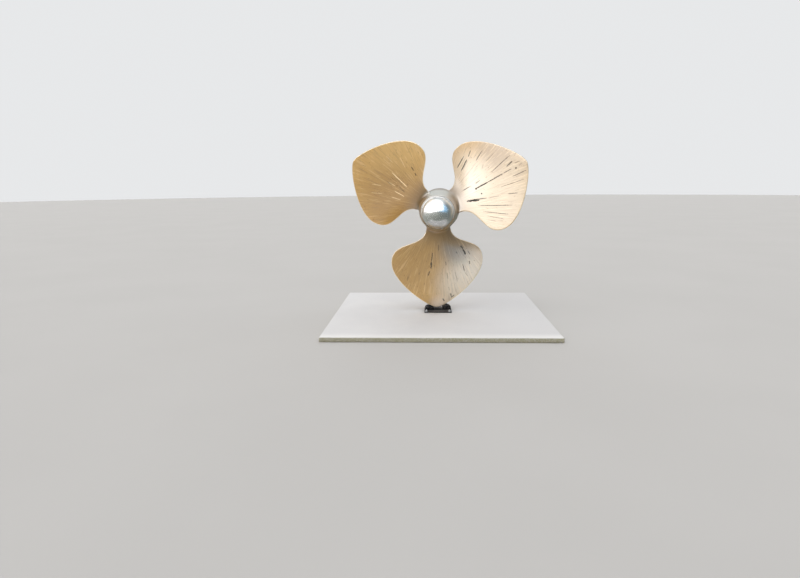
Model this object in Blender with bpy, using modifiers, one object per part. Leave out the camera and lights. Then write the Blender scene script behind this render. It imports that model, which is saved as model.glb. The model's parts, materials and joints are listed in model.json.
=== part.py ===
"""Three-bladed ship propeller on show: it stands on one blade tip, held by a steel bracket on a concrete pad.

Metres, +Z up. The origin is under the middle of the pad, and the propeller's cap faces -Y.
"""

import math

import bmesh
import bpy
from mathutils import Matrix, Vector
from mathutils.geometry import interpolate_bezier

GAP = 0.0003  # between neighbouring pieces
CUT_PAST = 0.01  # how far a cutter reaches past what it cuts

# Concrete pad
PAD_SIDE = 2.44
PAD_THICKNESS = 0.05
PAD_EDGE_BEVEL = 0.008

# Propeller: the lowest blade's tip, and how the shaft line lies
TIP_X = -0.016
TIP_Y = 0.049
TIP_LIFT = 0.044  # from the pad's top to the tip
NOSE_DOWN = math.radians(2.1)
NOSE_TURN = math.radians(-3.2)
SPIN = math.radians(-0.7)

# Blades: left-handed, so a blade's clockwise edge is nearer the front
BLADE_COUNT = 3
TIP_RADIUS = 1.14
PITCH = 1.50
RAKE = 0.20  # forward lean, for each metre of radius
BLADE_ROOT_DEPTH = 0.12  # where a blade ends inside the hub
NECK_HALF_WIDTH = 0.134
NECK_AT = 0.20
NECK_HANDLE = (0.028, 0.256)
WIDEST_HALF_WIDTH = 0.535
WIDEST_AT = 0.595
WIDEST_HANDLE_IN = 0.287
WIDEST_HANDLE_OUT = 0.237
TIP_HANDLE = 0.111
ROOT_THICKNESS = 0.085
TIP_THICKNESS = 0.018
EDGE_THICKNESS = 0.013
ROOT_FILLET = 0.055
EDGE_FILLET = 0.018  # at the ends of the root, where the blade is thin

# Hub, measured forward (+) and back (-) from the blades' centre line
HUB_FRONT = 0.38
HUB_REAR = -0.22
HUB_REAR_RADIUS = 0.245
HUB_FRONT_STEP = 0.007  # how far its front end stands out round the cap
HUB_EDGE_ROUND = 0.006
BORE_REAR_DIAMETER = 0.21
BORE_TAPER = 1 / 12  # change of diameter for each metre of length
KEYWAY_WIDTH = 0.050
KEYWAY_DEPTH = 0.024

# Cap on the hub's front
CAP_DOME_RADIUS = 0.176
CAP_DOME_HEIGHT = 0.130
CAP_WALL = 0.012
CAP_FLANGE_WIDTH = 0.017  # round the dome
CAP_FLANGE_THICKNESS = 0.022
CAP_LIP = 0.026  # how far the flange reaches in under the dome
SCREW_COUNT = 6
SCREW_DIAMETER = 0.008
SCREW_HEAD_DIAMETER = 0.012
SCREW_HEAD_HEIGHT = 0.006
SCREW_HEAD_BEVEL = 0.0016
SCREW_HEAD_SINK = 0.003  # how deep the head lies in the flange
SCREW_DEPTH = 0.030  # in the hub, below the flange

# Bracket
PLATE_WIDTH = 0.32
PLATE_DEPTH = 0.26
PLATE_THICKNESS = 0.012
PLATE_SHIFT_X = 0.012  # from the blade tip to the middle of the plate and the jaws
PLATE_SHIFT_Y = -0.004
JAW_INNER = 0.054  # from the middle
JAW_OUTER = 0.152
JAW_THICKNESS = 0.018
JAW_SLOT = 0.0156
FRONT_JAW_DROP = 0.009  # from the blade's edge down to the front jaw's top
FRONT_JAW_TOP = 0.048
FRONT_JAW_SHOULDER = 0.036
REAR_JAW_TOP = 0.060
REAR_JAW_SHOULDER = 0.042
JAW_SHOULDER_RUN = 0.026
GUSSET_THICKNESS = 0.012
GUSSET_LENGTH = 0.050
GUSSET_HEIGHT = 0.040
JAW_BOLT_DIAMETER = 0.014
JAW_BOLT_HEIGHT = 0.022  # above the plate
JAW_BOLT_SPACING = 0.044
JAW_BOLT_STICK_OUT = 0.006  # past its nut
ANCHOR_DIAMETER = 0.016
ANCHOR_EMBEDMENT = 0.036
ANCHOR_STICK_OUT = 0.020
ANCHOR_INSET = 0.024
WASHER_DIAMETER = 0.032
WASHER_THICKNESS = 0.003

# Hexagons across their flats, for each metre of thread
HEX_FLATS = 1.6
HEX_HEAD_HEIGHT = 0.65
HEX_NUT_HEIGHT = 0.8

# Fineness
ROUND_STEPS = 48
SMALL_STEPS = 12
PROFILE_STEPS = 4
DOME_STEPS = 9
NECK_STEPS = 14
OUTER_STEPS = 11
CHORD_STEPS = 8
CURVE_FINENESS = 400  # points on each of the outline's two curves, before steps are picked
NECK_CROWDING = 2.0  # how much closer the steps lie near the hub
TIP_CROWDING = 1.6  # and near the tip
EDGE_REFINEMENT = 6  # outline points for each step, where distances to the edge are measured
EDGE_ROUND_STEP = 0.3  # where the round edge's middle ring lies, as a share of the edge
MOST_EDGE_SHARE = 0.25  # of the half width that the round edge may take near the tip

TAU = 2 * math.pi
PAD_TOP = PAD_THICKNESS
CAP_FLANGE_RADIUS = CAP_DOME_RADIUS + CAP_FLANGE_WIDTH
HUB_FRONT_RADIUS = CAP_FLANGE_RADIUS + HUB_FRONT_STEP
LOWEST_BLADE = math.radians(270)

COLOURS = {
    "concrete": ((0.60, 0.59, 0.57), 0.90, 0.0),
    "black_steel": ((0.025, 0.026, 0.028), 0.60, 0.0),
    "bronze_paint": ((0.50, 0.33, 0.18), 0.42, 0.0),
    "polished_cap": ((0.72, 0.74, 0.76), 0.18, 1.0),
    "bare_steel": ((0.45, 0.45, 0.44), 0.45, 1.0),
}


def clear_scene():
    for item in list(bpy.data.objects):
        bpy.data.objects.remove(item, do_unlink=True)


def new_collection(name):
    collection = bpy.data.collections.new(name)
    bpy.context.scene.collection.children.link(collection)
    return collection


def new_material(name):
    colour, roughness, metallic = COLOURS[name]
    material = bpy.data.materials.new(name)
    material.use_nodes = True
    shader = material.node_tree.nodes["Principled BSDF"]
    shader.inputs["Base Color"].default_value = (*colour, 1)
    shader.inputs["Roughness"].default_value = roughness
    shader.inputs["Metallic"].default_value = metallic
    material.diffuse_color = (*colour, 1)
    return material


def new_object(name, mesh, material=None, parent=None):
    """A piece of the propeller or its stand, in the main collection."""
    item = bpy.data.objects.new(name, mesh)
    PIECES.objects.link(item)
    item.parent = parent
    if material:
        mesh.materials.append(material)
        mesh.shade_smooth()
        mesh.set_sharp_from_angle(angle=math.radians(35))
    return item


def as_helper(item):
    """Makes an object a cutter or a part of a joined one."""
    PIECES.objects.unlink(item)
    HELPERS.objects.link(item)
    item.hide_render = True
    item.display_type = "WIRE"
    return item


def join_or_cut(item, helper, operation):
    modifier = item.modifiers.new(f"{operation.lower()} {helper.name}", "BOOLEAN")
    modifier.operation = operation
    modifier.object = helper


def mesh_of(shape, name):
    mesh = bpy.data.meshes.new(name)
    shape.to_mesh(mesh)
    shape.free()
    return mesh


def box_mesh(name, low, high):
    low, high = Vector(low), Vector(high)
    shape = bmesh.new()
    bmesh.ops.create_cube(shape, size=1)
    bmesh.ops.scale(shape, vec=high - low, verts=shape.verts)
    bmesh.ops.translate(shape, vec=(low + high) / 2, verts=shape.verts)
    return mesh_of(shape, name)


def rod_mesh(name, diameter, bottom, top, steps=SMALL_STEPS):
    """A straight rod along Z, or a hexagon where steps is 6."""
    shape = bmesh.new()
    bmesh.ops.create_cone(
        shape, cap_ends=True, segments=steps, radius1=diameter / 2, radius2=diameter / 2, depth=top - bottom
    )
    bmesh.ops.translate(shape, vec=(0, 0, (top + bottom) / 2), verts=shape.verts)
    return mesh_of(shape, name)


def turned(name, profile, steps=ROUND_STEPS):
    """A piece turned about Z from (radius, height) points that run down its outer side."""
    shape = bmesh.new()
    points = [shape.verts.new((radius, 0, height)) for radius, height in profile]
    for first, second in zip(points, points[1:]):
        shape.edges.new((first, second))
    item = new_object(name, mesh_of(shape, name))
    screw = item.modifiers.new("turn", "SCREW")
    screw.axis = "Z"
    screw.steps = steps
    screw.render_steps = steps
    screw.use_merge_vertices = True
    screw.merge_threshold = GAP / 10
    screw.use_smooth_shade = True
    return item


def finish(item, material, parent):
    item.data.materials.append(material)
    item.parent = parent
    return item


def arc(centre, radius, start, end):
    """Points (radius, height) on an arc, from start to end degrees, counted from +radius towards +height."""
    points = []
    for step in range(PROFILE_STEPS + 1):
        angle = math.radians(start + (end - start) * step / PROFILE_STEPS)
        points.append((centre[0] + radius * math.cos(angle), centre[1] + radius * math.sin(angle)))
    return points


def plate(name, outline, thickness, material, parent):
    """A flat plate standing in its parent's XZ plane, its outline in (x, z), centred on y = 0."""
    curve = bpy.data.curves.new(name, "CURVE")
    curve.dimensions = "2D"
    curve.fill_mode = "BOTH"
    curve.extrude = thickness / 2
    spline = curve.splines.new("POLY")
    spline.points.add(len(outline) - 1)
    spline.use_cyclic_u = True
    for point, (x, z) in zip(spline.points, outline):
        point.co = (x, z, 0, 1)
    source = bpy.data.objects.new(name + "_outline", curve)
    HELPERS.objects.link(source)
    graph = bpy.context.evaluated_depsgraph_get()
    mesh = bpy.data.meshes.new_from_object(source.evaluated_get(graph))
    bpy.data.objects.remove(source)
    shape = bmesh.new()
    shape.from_mesh(mesh)
    bmesh.ops.remove_doubles(shape, verts=shape.verts, dist=GAP / 10)
    bmesh.ops.rotate(shape, verts=shape.verts, cent=(0, 0, 0), matrix=Matrix.Rotation(math.pi / 2, 3, "X"))
    bmesh.ops.recalc_face_normals(shape, faces=shape.faces)
    shape.to_mesh(mesh)
    shape.free()
    mesh.name = name
    return new_object(name, mesh, material, parent)


# The blade's outline and surface


def half_outline(steps_in, steps_out):
    """Points (half width, distance from the shaft line) from the root up to the tip."""
    neck = Vector((NECK_HALF_WIDTH, NECK_AT))
    neck_handle = neck + Vector(NECK_HANDLE)
    widest = Vector((WIDEST_HALF_WIDTH, WIDEST_AT))
    handle_in = widest - Vector((0, WIDEST_HANDLE_IN))
    handle_out = widest + Vector((0, WIDEST_HANDLE_OUT))
    tip = Vector((0, TIP_RADIUS))
    tip_handle = tip + Vector((TIP_HANDLE, 0))
    lower = interpolate_bezier(neck, neck_handle, handle_in, widest, CURVE_FINENESS + 1)
    upper = interpolate_bezier(widest, handle_out, tip_handle, tip, CURVE_FINENESS + 1)
    points = [Vector((NECK_HALF_WIDTH, BLADE_ROOT_DEPTH))]
    for step in range(steps_in):
        points.append(lower[round(CURVE_FINENESS * (step / steps_in) ** NECK_CROWDING)])
    for step in range(steps_out + 1):
        points.append(upper[round(CURVE_FINENESS * (1 - (1 - step / steps_out) ** TIP_CROWDING))])
    return points


def fine_outline():
    return half_outline(NECK_STEPS * EDGE_REFINEMENT, OUTER_STEPS * EDGE_REFINEMENT)


def hub_radius(forward):
    """The hub is widest at its rear end, and curves in towards its front."""
    share = (forward - HUB_REAR) / (HUB_FRONT - HUB_REAR)
    return HUB_REAR_RADIUS - (HUB_REAR_RADIUS - HUB_FRONT_RADIUS) * share**2


def blade_point(across, along, height, blade_angle):
    """A blade's point in the propeller's own axes, where -Y is forward and +Z up.

    across (clockwise from the front) and along are its place in the outline, and height
    is how far it lies in front of the blade's middle surface.
    """
    radius = math.hypot(across, along)
    turn = math.atan2(across, along)
    angle = blade_angle + SPIN - turn
    outward = Vector((math.cos(angle), 0, math.sin(angle)))
    clockwise = Vector((math.sin(angle), 0, -math.cos(angle)))
    ahead = Vector((0, -1, 0))
    normal = radius * ahead - PITCH / TAU * clockwise - RAKE * radius * outward
    forward = PITCH / TAU * turn + RAKE * radius
    return outward * radius + ahead * forward + normal.normalized() * height


def half_thickness(radius, share, edge_distance):
    """Half the blade's thickness: a lens across the blade, with a round edge."""
    outward = max((radius - NECK_AT) / (TIP_RADIUS - NECK_AT), 0)
    middle = ROOT_THICKNESS + (TIP_THICKNESS - ROOT_THICKNESS) * outward
    edge = EDGE_THICKNESS / 2
    inside = min(edge_distance, edge)
    rounding = math.sqrt(edge**2 - (edge - inside) ** 2)
    return rounding + (middle / 2 - edge) * (1 - share**2)


def chord_shares(half_width):
    """Places across the blade from -1 to 1, with two close to each round edge."""
    edge = min(EDGE_THICKNESS / 2 / half_width, MOST_EDGE_SHARE)
    outer = 1 - EDGE_ROUND_STEP * edge
    inner = [(1 - edge) * (2 * step / CHORD_STEPS - 1) for step in range(CHORD_STEPS + 1)]
    return [-1, -outer, *inner, outer, 1]


def root_flare(place, share):
    """How much a blade swells at this place, to meet the hub in a fillet."""
    fillet = EDGE_FILLET + (ROOT_FILLET - EDGE_FILLET) * (1 - share**2)
    outside = math.hypot(place.x, place.z) - hub_radius(-place.y)
    outside = min(max(outside, 0), fillet)
    return fillet - math.sqrt(fillet**2 - (fillet - outside) ** 2)


def blade_mesh(name, blade_angle, growth=0.0):
    """A blade lofted over arcs round the shaft line, from root to tip, and grown on every side by growth."""
    edge = fine_outline()
    shape = bmesh.new()
    rings = []
    shares = {}
    for half_width, along in half_outline(NECK_STEPS, OUTER_STEPS)[:-1]:
        radius = math.hypot(half_width, along)
        half_turn = math.atan2(half_width, along)
        front, back = [], []
        for share in chord_shares(half_width):
            across = radius * math.sin(share * half_turn)
            outward = radius * math.cos(share * half_turn)
            place = Vector((abs(across), outward))
            distance = min((place - point).length for point in edge) if abs(share) < 1 else 0
            height = half_thickness(radius, share, distance)
            front.append(shape.verts.new(blade_point(across, outward, height, blade_angle)))
            shares[front[-1]] = share
            if abs(share) < 1:
                back.append(shape.verts.new(blade_point(across, outward, -height, blade_angle)))
                shares[back[-1]] = share
        rings.append(front + back[::-1])
    for lower, upper in zip(rings, rings[1:]):
        for side in range(len(lower)):
            following = (side + 1) % len(lower)
            shape.faces.new((lower[side], lower[following], upper[following], upper[side]))
    tip = shape.verts.new(blade_point(0, TIP_RADIUS, 0, blade_angle))
    shares[tip] = 1
    for side in range(len(rings[-1])):
        shape.faces.new((rings[-1][side], rings[-1][(side + 1) % len(rings[-1])], tip))
    shape.faces.new(rings[0][::-1])
    bmesh.ops.recalc_face_normals(shape, faces=shape.faces)
    shape.normal_update()
    for vertex, share in shares.items():
        vertex.co += vertex.normal * (root_flare(vertex.co, share) + growth)
    return mesh_of(shape, name)


# Main pieces


def propeller_frame():
    """The empty on the shaft line, placed so that the lowest blade's tip is over the bracket."""
    turn = Matrix.Rotation(NOSE_TURN, 3, "Z") @ Matrix.Rotation(NOSE_DOWN, 3, "X")
    tip = Vector((TIP_X, TIP_Y, PAD_TOP + TIP_LIFT))
    centre = tip - turn @ blade_point(0, TIP_RADIUS, 0, LOWEST_BLADE)
    frame = bpy.data.objects.new("shaft_line", None)
    PIECES.objects.link(frame)
    frame.matrix_world = Matrix.LocRotScale(centre, turn, None)
    bpy.context.view_layer.update()
    return frame


def along_shaft(item, frame):
    """Lays a piece that was turned about Z along the shaft line, its top forward."""
    item.parent = frame
    item.rotation_euler = (math.pi / 2, 0, 0)
    return item


def screw_places():
    circle = CAP_DOME_RADIUS + CAP_FLANGE_WIDTH / 2
    for number in range(SCREW_COUNT):
        angle = TAU * (number + 0.25) / SCREW_COUNT
        yield Vector((circle * math.cos(angle), 0, circle * math.sin(angle)))


def make_casting(frame, material):
    """The hub and its blades, cast in one piece, with a tapered bore and its keyway."""
    round_front = (HUB_FRONT_RADIUS - HUB_EDGE_ROUND, HUB_FRONT - HUB_EDGE_ROUND)
    round_rear = (HUB_REAR_RADIUS - HUB_EDGE_ROUND, HUB_REAR + HUB_EDGE_ROUND)
    profile = [(0, HUB_FRONT), *arc(round_front, HUB_EDGE_ROUND, 90, 0)]
    length = HUB_FRONT - HUB_REAR - 2 * HUB_EDGE_ROUND
    for step in range(1, 2 * PROFILE_STEPS):
        forward = HUB_FRONT - HUB_EDGE_ROUND - length * step / (2 * PROFILE_STEPS)
        profile.append((hub_radius(forward), forward))
    profile += [*arc(round_rear, HUB_EDGE_ROUND, 0, -90), (0, HUB_REAR)]
    casting = finish(turned("propeller_casting", profile), material, frame)
    along_shaft(casting, frame)

    for number in range(BLADE_COUNT):
        angle = LOWEST_BLADE + TAU * number / BLADE_COUNT
        name = f"blade_{number + 1}"
        blade = as_helper(new_object(name, blade_mesh(name, angle), parent=frame))
        join_or_cut(casting, blade, "UNION")

    front_end = HUB_FRONT + CUT_PAST
    rear_end = HUB_REAR - CUT_PAST
    rear_radius = BORE_REAR_DIAMETER / 2
    bore = [(0, front_end), (rear_radius - BORE_TAPER / 2 * (front_end - HUB_REAR), front_end)]
    bore += [(rear_radius + BORE_TAPER / 2 * CUT_PAST, rear_end), (0, rear_end)]
    cutter = as_helper(along_shaft(turned("bore", bore), frame))
    low = (-KEYWAY_WIDTH / 2, -front_end, 0)
    high = (KEYWAY_WIDTH / 2, -rear_end, rear_radius + KEYWAY_DEPTH)
    keyway = as_helper(new_object("keyway", box_mesh("keyway", low, high), parent=frame))
    join_or_cut(cutter, keyway, "UNION")
    join_or_cut(casting, cutter, "DIFFERENCE")

    for number, place in enumerate(screw_places()):
        name = f"screw_hole_{number + 1}"
        hole = new_object(name, rod_mesh(name, SCREW_DIAMETER + 2 * GAP, -SCREW_DEPTH - GAP, CUT_PAST))
        hole.location = place + Vector((0, -HUB_FRONT, 0))
        join_or_cut(casting, as_helper(along_shaft(hole, frame)), "DIFFERENCE")
    return casting


def make_cap(frame, material, screw_material):
    """The domed cap with its flange, open at the back, and the screws that hold it."""
    seat = HUB_FRONT + GAP
    flange_top = seat + CAP_FLANGE_THICKNESS
    outer, inner = [], []
    for step in range(DOME_STEPS + 1):
        angle = math.pi / 2 * step / DOME_STEPS
        outer.append((CAP_DOME_RADIUS * math.sin(angle), flange_top + CAP_DOME_HEIGHT * math.cos(angle)))
        hollow = CAP_DOME_RADIUS - CAP_WALL
        inner.append((hollow * math.sin(angle), flange_top + (CAP_DOME_HEIGHT - CAP_WALL) * math.cos(angle)))
    mouth = CAP_DOME_RADIUS - CAP_LIP
    rim = [(CAP_FLANGE_RADIUS, flange_top), (CAP_FLANGE_RADIUS, seat), (mouth, seat), (mouth, flange_top)]
    cap = finish(turned("hub_cap", outer + rim + inner[::-1]), material, frame)
    along_shaft(cap, frame)

    for number, place in enumerate(screw_places()):
        name = f"cap_screw_{number + 1}"
        seat = flange_top - SCREW_HEAD_SINK
        recess = rod_mesh(name + "_recess", SCREW_HEAD_DIAMETER + 2 * GAP, seat, flange_top + CUT_PAST)
        hole = rod_mesh(name + "_hole", SCREW_DIAMETER + 2 * GAP, HUB_FRONT - CUT_PAST, flange_top)
        for mesh in (recess, hole):
            cutter = new_object(mesh.name, mesh)
            cutter.location = place
            join_or_cut(cap, as_helper(along_shaft(cutter, frame)), "DIFFERENCE")
        make_cap_screw(name, seat + GAP, place, screw_material, frame)


def make_cap_screw(name, seat, place, material, frame):
    """A screw through the cap's flange into the hub, with its head's underside at seat."""
    radius = SCREW_HEAD_DIAMETER / 2
    top = seat + SCREW_HEAD_HEIGHT
    bottom = HUB_FRONT - SCREW_DEPTH
    profile = [(0, top), (radius - SCREW_HEAD_BEVEL, top), (radius, top - SCREW_HEAD_BEVEL), (radius, seat)]
    profile += [(SCREW_DIAMETER / 2, seat), (SCREW_DIAMETER / 2, bottom), (0, bottom)]
    screw = finish(turned(name, profile, SMALL_STEPS), material, frame)
    screw.location = place
    along_shaft(screw, frame)


def make_bolt(name, diameter, length, material, parent):
    """A hexagon bolt along Z with its head's underside at z = 0 and its shank going down."""
    top = diameter * HEX_HEAD_HEIGHT
    head = new_object(name, rod_mesh(name, hex_corners(diameter), 0, top, 6), material, parent)
    shank = new_object(name + "_shank", rod_mesh(name + "_shank", diameter, -length, top / 2))
    shank.parent = head
    join_or_cut(head, as_helper(shank), "UNION")
    return head


def hex_corners(diameter):
    """A hexagon's width over its corners, from the thread's diameter."""
    return diameter * HEX_FLATS / math.cos(math.pi / 6)


def make_nut(name, diameter, material, parent):
    """A hexagon nut along Z, standing on z = 0, round a rod of this diameter."""
    hole = diameter / 2 + GAP
    height = diameter * HEX_NUT_HEIGHT
    nut = new_object(name, rod_mesh(name, hex_corners(diameter), 0, height, 6), material, parent)
    cutter = new_object(name + "_thread", rod_mesh(name + "_thread", 2 * hole, -height, 2 * height))
    cutter.parent = nut
    join_or_cut(nut, as_helper(cutter), "DIFFERENCE")
    return nut


def edge_height(across):
    """How far from the shaft line the blade's outer edge is, at this half width."""
    upper = [point for point in fine_outline() if point.y >= WIDEST_AT]
    for wide, narrow in zip(upper, upper[1:]):
        if narrow.x <= across <= wide.x:
            share = (across - narrow.x) / (wide.x - narrow.x)
            return narrow.y + share * (wide.y - narrow.y)
    return WIDEST_AT


def edge_point(shaft_line, across):
    """A point on the lowest blade's edge, at this distance to the right of its tip."""
    return shaft_line.matrix_world @ blade_point(-across, edge_height(abs(across)), 0, LOWEST_BLADE)


def saddle_reach(side):
    """From the blade's tip to the place where a saddle's rest touches its edge."""
    return side * (2 * JAW_INNER + JAW_OUTER) / 3 + PLATE_SHIFT_X


def jaw_frame(shaft_line):
    """The empty between the jaws, on the plate, with its X along the blade's edge."""
    left = edge_point(shaft_line, saddle_reach(-1))
    right = edge_point(shaft_line, saddle_reach(1))
    share = (TIP_X + PLATE_SHIFT_X - left.x) / (right.x - left.x)
    middle = left + share * (right - left)
    frame = bpy.data.objects.new("jaw_line", None)
    PIECES.objects.link(frame)
    frame.location = (middle.x, middle.y, PAD_TOP + PLATE_THICKNESS + 2 * GAP)
    frame.rotation_euler = (0, 0, math.atan2(right.y - left.y, right.x - left.x))
    bpy.context.view_layer.update()
    return frame


def edge_line(side, shaft_line, frame):
    """The blade's lower edge near a saddle, as a straight line: its height for each X of the jaws."""
    reach = saddle_reach(side)
    to_frame = frame.matrix_world.inverted()
    middle = to_frame @ edge_point(shaft_line, reach)
    beyond = to_frame @ edge_point(shaft_line, reach + side * JAW_BOLT_DIAMETER)
    slope = (beyond.z - middle.z) / (beyond.x - middle.x)
    return lambda x: middle.z + slope * (x - middle.x)


def make_jaws(shaft_line, frame, blade_cutter, steel):
    """On each side of the tip a saddle under the blade's edge, between a front and a rear jaw."""
    offset = JAW_SLOT / 2 + JAW_THICKNESS / 2
    for side, word in ((-1, "left"), (1, "right")):
        edge = edge_line(side, shaft_line, frame)
        inner, outer = side * JAW_INNER, side * JAW_OUTER
        shoulder = outer - side * JAW_SHOULDER_RUN
        middle = (inner + outer) / 2
        foot = [(inner, 0), (outer, 0)]
        tops = [min(edge(x) - FRONT_JAW_DROP, FRONT_JAW_TOP) for x in (shoulder, middle, inner)]
        front_outline = foot + [(outer, FRONT_JAW_SHOULDER), *zip((shoulder, middle, inner), tops)]
        saddle_outline = foot + [(outer, FRONT_JAW_SHOULDER)]
        saddle_outline += [(x, edge(x) - GAP) for x in (middle, inner)]
        rear_outline = foot + [(outer, REAR_JAW_SHOULDER), (shoulder, REAR_JAW_TOP), (inner, REAR_JAW_TOP)]
        front = plate(f"{word}_front_jaw", front_outline, JAW_THICKNESS, steel, frame)
        front.location.y = -offset
        saddle = plate(f"{word}_saddle", saddle_outline, JAW_SLOT - 2 * GAP, steel, frame)
        rear = plate(f"{word}_rear_jaw", rear_outline, JAW_THICKNESS, steel, frame)
        rear.location.y = offset
        for jaw in (front, saddle, rear):
            join_or_cut(jaw, blade_cutter, "DIFFERENCE")
        make_gusset(f"{word}_gusset", side, steel, frame)
        for number, shift in enumerate((-1, 1)):
            across = middle + shift * JAW_BOLT_SPACING / 2
            make_jaw_bolt(f"{word}_jaw_bolt_{number + 1}", across, (front, saddle, rear), steel, frame)


def make_gusset(name, side, steel, frame):
    """A triangle welded between the plate and the back of a rear jaw."""
    back = JAW_SLOT / 2 + JAW_THICKNESS + GAP
    outline = [(0, 0), (GUSSET_LENGTH, 0), (GUSSET_LENGTH, GUSSET_THICKNESS)]
    outline += [(GUSSET_THICKNESS, GUSSET_HEIGHT), (0, GUSSET_HEIGHT)]
    gusset = plate(name, outline, GUSSET_THICKNESS, steel, frame)
    gusset.rotation_euler = (0, 0, math.pi / 2)
    gusset.location = (side * (JAW_INNER + JAW_OUTER) / 2, back, 0)


def make_jaw_bolt(name, across, jaws, steel, frame):
    """A bolt through the front jaw, the saddle and the rear jaw, with its nut behind."""
    front_face = -JAW_SLOT / 2 - JAW_THICKNESS
    back_face = -front_face
    length = back_face - front_face + JAW_BOLT_DIAMETER * HEX_NUT_HEIGHT + JAW_BOLT_STICK_OUT
    bolt = make_bolt(name, JAW_BOLT_DIAMETER, length, steel, frame)
    bolt.rotation_euler = (math.pi / 2, 0, 0)
    bolt.location = (across, front_face - GAP, JAW_BOLT_HEIGHT)
    nut = make_nut(name.replace("bolt", "nut"), JAW_BOLT_DIAMETER, steel, frame)
    nut.rotation_euler = (-math.pi / 2, 0, 0)
    nut.location = (across, back_face + GAP, JAW_BOLT_HEIGHT)
    reach = back_face + CUT_PAST
    hole = new_object(name + "_hole", rod_mesh(name + "_hole", JAW_BOLT_DIAMETER + 2 * GAP, -reach, reach))
    hole.parent = frame
    hole.rotation_euler = (math.pi / 2, 0, 0)
    hole.location = (across, 0, JAW_BOLT_HEIGHT)
    as_helper(hole)
    for jaw in jaws:
        join_or_cut(jaw, hole, "DIFFERENCE")


def make_base(concrete, steel, bare_steel):
    """The pad and the plate on it, with four anchors through both."""
    half = PAD_SIDE / 2
    mesh = box_mesh("concrete_pad", (-half, -half, 0), (half, half, PAD_THICKNESS))
    pad = new_object("concrete_pad", mesh, concrete)
    bevel = pad.modifiers.new("edges", "BEVEL")
    bevel.width = PAD_EDGE_BEVEL
    bevel.segments = 2
    middle = Vector((TIP_X + PLATE_SHIFT_X, TIP_Y + PLATE_SHIFT_Y, PAD_TOP + GAP))
    size = Vector((PLATE_WIDTH, PLATE_DEPTH, 0)) / 2
    mesh = box_mesh("bracket_base_plate", -size, size + Vector((0, 0, PLATE_THICKNESS)))
    base = new_object("bracket_base_plate", mesh, steel)
    base.location = middle
    number = 0
    for side in (-1, 1):
        for end in (-1, 1):
            number += 1
            across = side * (PLATE_WIDTH / 2 - ANCHOR_INSET)
            along = end * (PLATE_DEPTH / 2 - ANCHOR_INSET)
            place = middle + Vector((across, along, 0))
            make_anchor(number, place, pad, base, bare_steel)


def make_anchor(number, place, pad, base, material):
    """A stud in the pad with a washer and a nut on the plate."""
    top = PLATE_THICKNESS + ANCHOR_STICK_OUT
    bottom = -ANCHOR_EMBEDMENT
    name = f"anchor_stud_{number}"
    stud = new_object(name, rod_mesh(name, ANCHOR_DIAMETER, bottom, top), material)
    stud.location = place
    name = f"anchor_hole_{number}"
    hole = new_object(name, rod_mesh(name, ANCHOR_DIAMETER + 2 * GAP, bottom - GAP, top))
    hole.location = place
    as_helper(hole)
    join_or_cut(pad, hole, "DIFFERENCE")
    join_or_cut(base, hole, "DIFFERENCE")
    washer_low = PLATE_THICKNESS + GAP
    washer_top = washer_low + WASHER_THICKNESS
    name = f"anchor_washer_{number}"
    washer = new_object(name, rod_mesh(name, WASHER_DIAMETER, washer_low, washer_top), material)
    washer.location = place
    join_or_cut(washer, hole, "DIFFERENCE")
    nut = make_nut(f"anchor_nut_{number}", ANCHOR_DIAMETER, material, None)
    nut.location = place + Vector((0, 0, washer_top + GAP))


def build():
    concrete = new_material("concrete")
    steel = new_material("black_steel")
    bare_steel = new_material("bare_steel")
    make_base(concrete, steel, bare_steel)

    shaft_line = propeller_frame()
    make_casting(shaft_line, new_material("bronze_paint"))
    make_cap(shaft_line, new_material("polished_cap"), bare_steel)

    cutter_mesh = blade_mesh("blade_clearance", LOWEST_BLADE, GAP)
    blade_cutter = as_helper(new_object("blade_clearance", cutter_mesh, parent=shaft_line))
    make_jaws(shaft_line, jaw_frame(shaft_line), blade_cutter, steel)


clear_scene()
PIECES = new_collection("ship_propeller")
HELPERS = new_collection("cutters")
build()
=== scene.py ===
"""The looks of a three-bladed ship propeller that stands on a blade tip in a steel bracket.

Metres, +Z up. The origin is under the middle of the concrete pad, and the propeller's cap faces -Y.
"""

import json
import math
from contextlib import contextmanager

import bpy
import numpy as np
from mathutils import Matrix, Vector
from mathutils.kdtree import KDTree

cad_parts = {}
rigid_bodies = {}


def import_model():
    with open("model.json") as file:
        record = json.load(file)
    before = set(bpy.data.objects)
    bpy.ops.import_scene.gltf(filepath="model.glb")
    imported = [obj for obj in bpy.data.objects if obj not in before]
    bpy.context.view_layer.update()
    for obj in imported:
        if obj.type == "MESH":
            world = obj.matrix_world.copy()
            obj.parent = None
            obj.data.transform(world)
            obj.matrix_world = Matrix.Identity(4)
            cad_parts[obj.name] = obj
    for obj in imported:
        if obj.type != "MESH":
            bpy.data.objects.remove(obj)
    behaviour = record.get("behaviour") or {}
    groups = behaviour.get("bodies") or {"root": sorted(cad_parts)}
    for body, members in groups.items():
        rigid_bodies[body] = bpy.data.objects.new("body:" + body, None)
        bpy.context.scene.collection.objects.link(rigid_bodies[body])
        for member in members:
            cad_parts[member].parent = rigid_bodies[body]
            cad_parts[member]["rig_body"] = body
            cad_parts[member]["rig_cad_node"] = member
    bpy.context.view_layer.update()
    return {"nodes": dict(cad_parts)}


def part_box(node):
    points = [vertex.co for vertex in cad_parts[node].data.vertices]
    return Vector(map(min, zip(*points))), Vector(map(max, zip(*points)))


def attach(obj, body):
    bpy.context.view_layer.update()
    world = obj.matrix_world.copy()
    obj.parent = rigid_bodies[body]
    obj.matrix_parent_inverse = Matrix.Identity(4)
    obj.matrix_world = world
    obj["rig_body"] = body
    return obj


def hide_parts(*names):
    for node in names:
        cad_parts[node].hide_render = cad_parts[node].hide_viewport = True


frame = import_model()
BODY = "root"
FINISH = "_finish"  # ends the name of each material, after its slot
GAP = 0.0003
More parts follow.
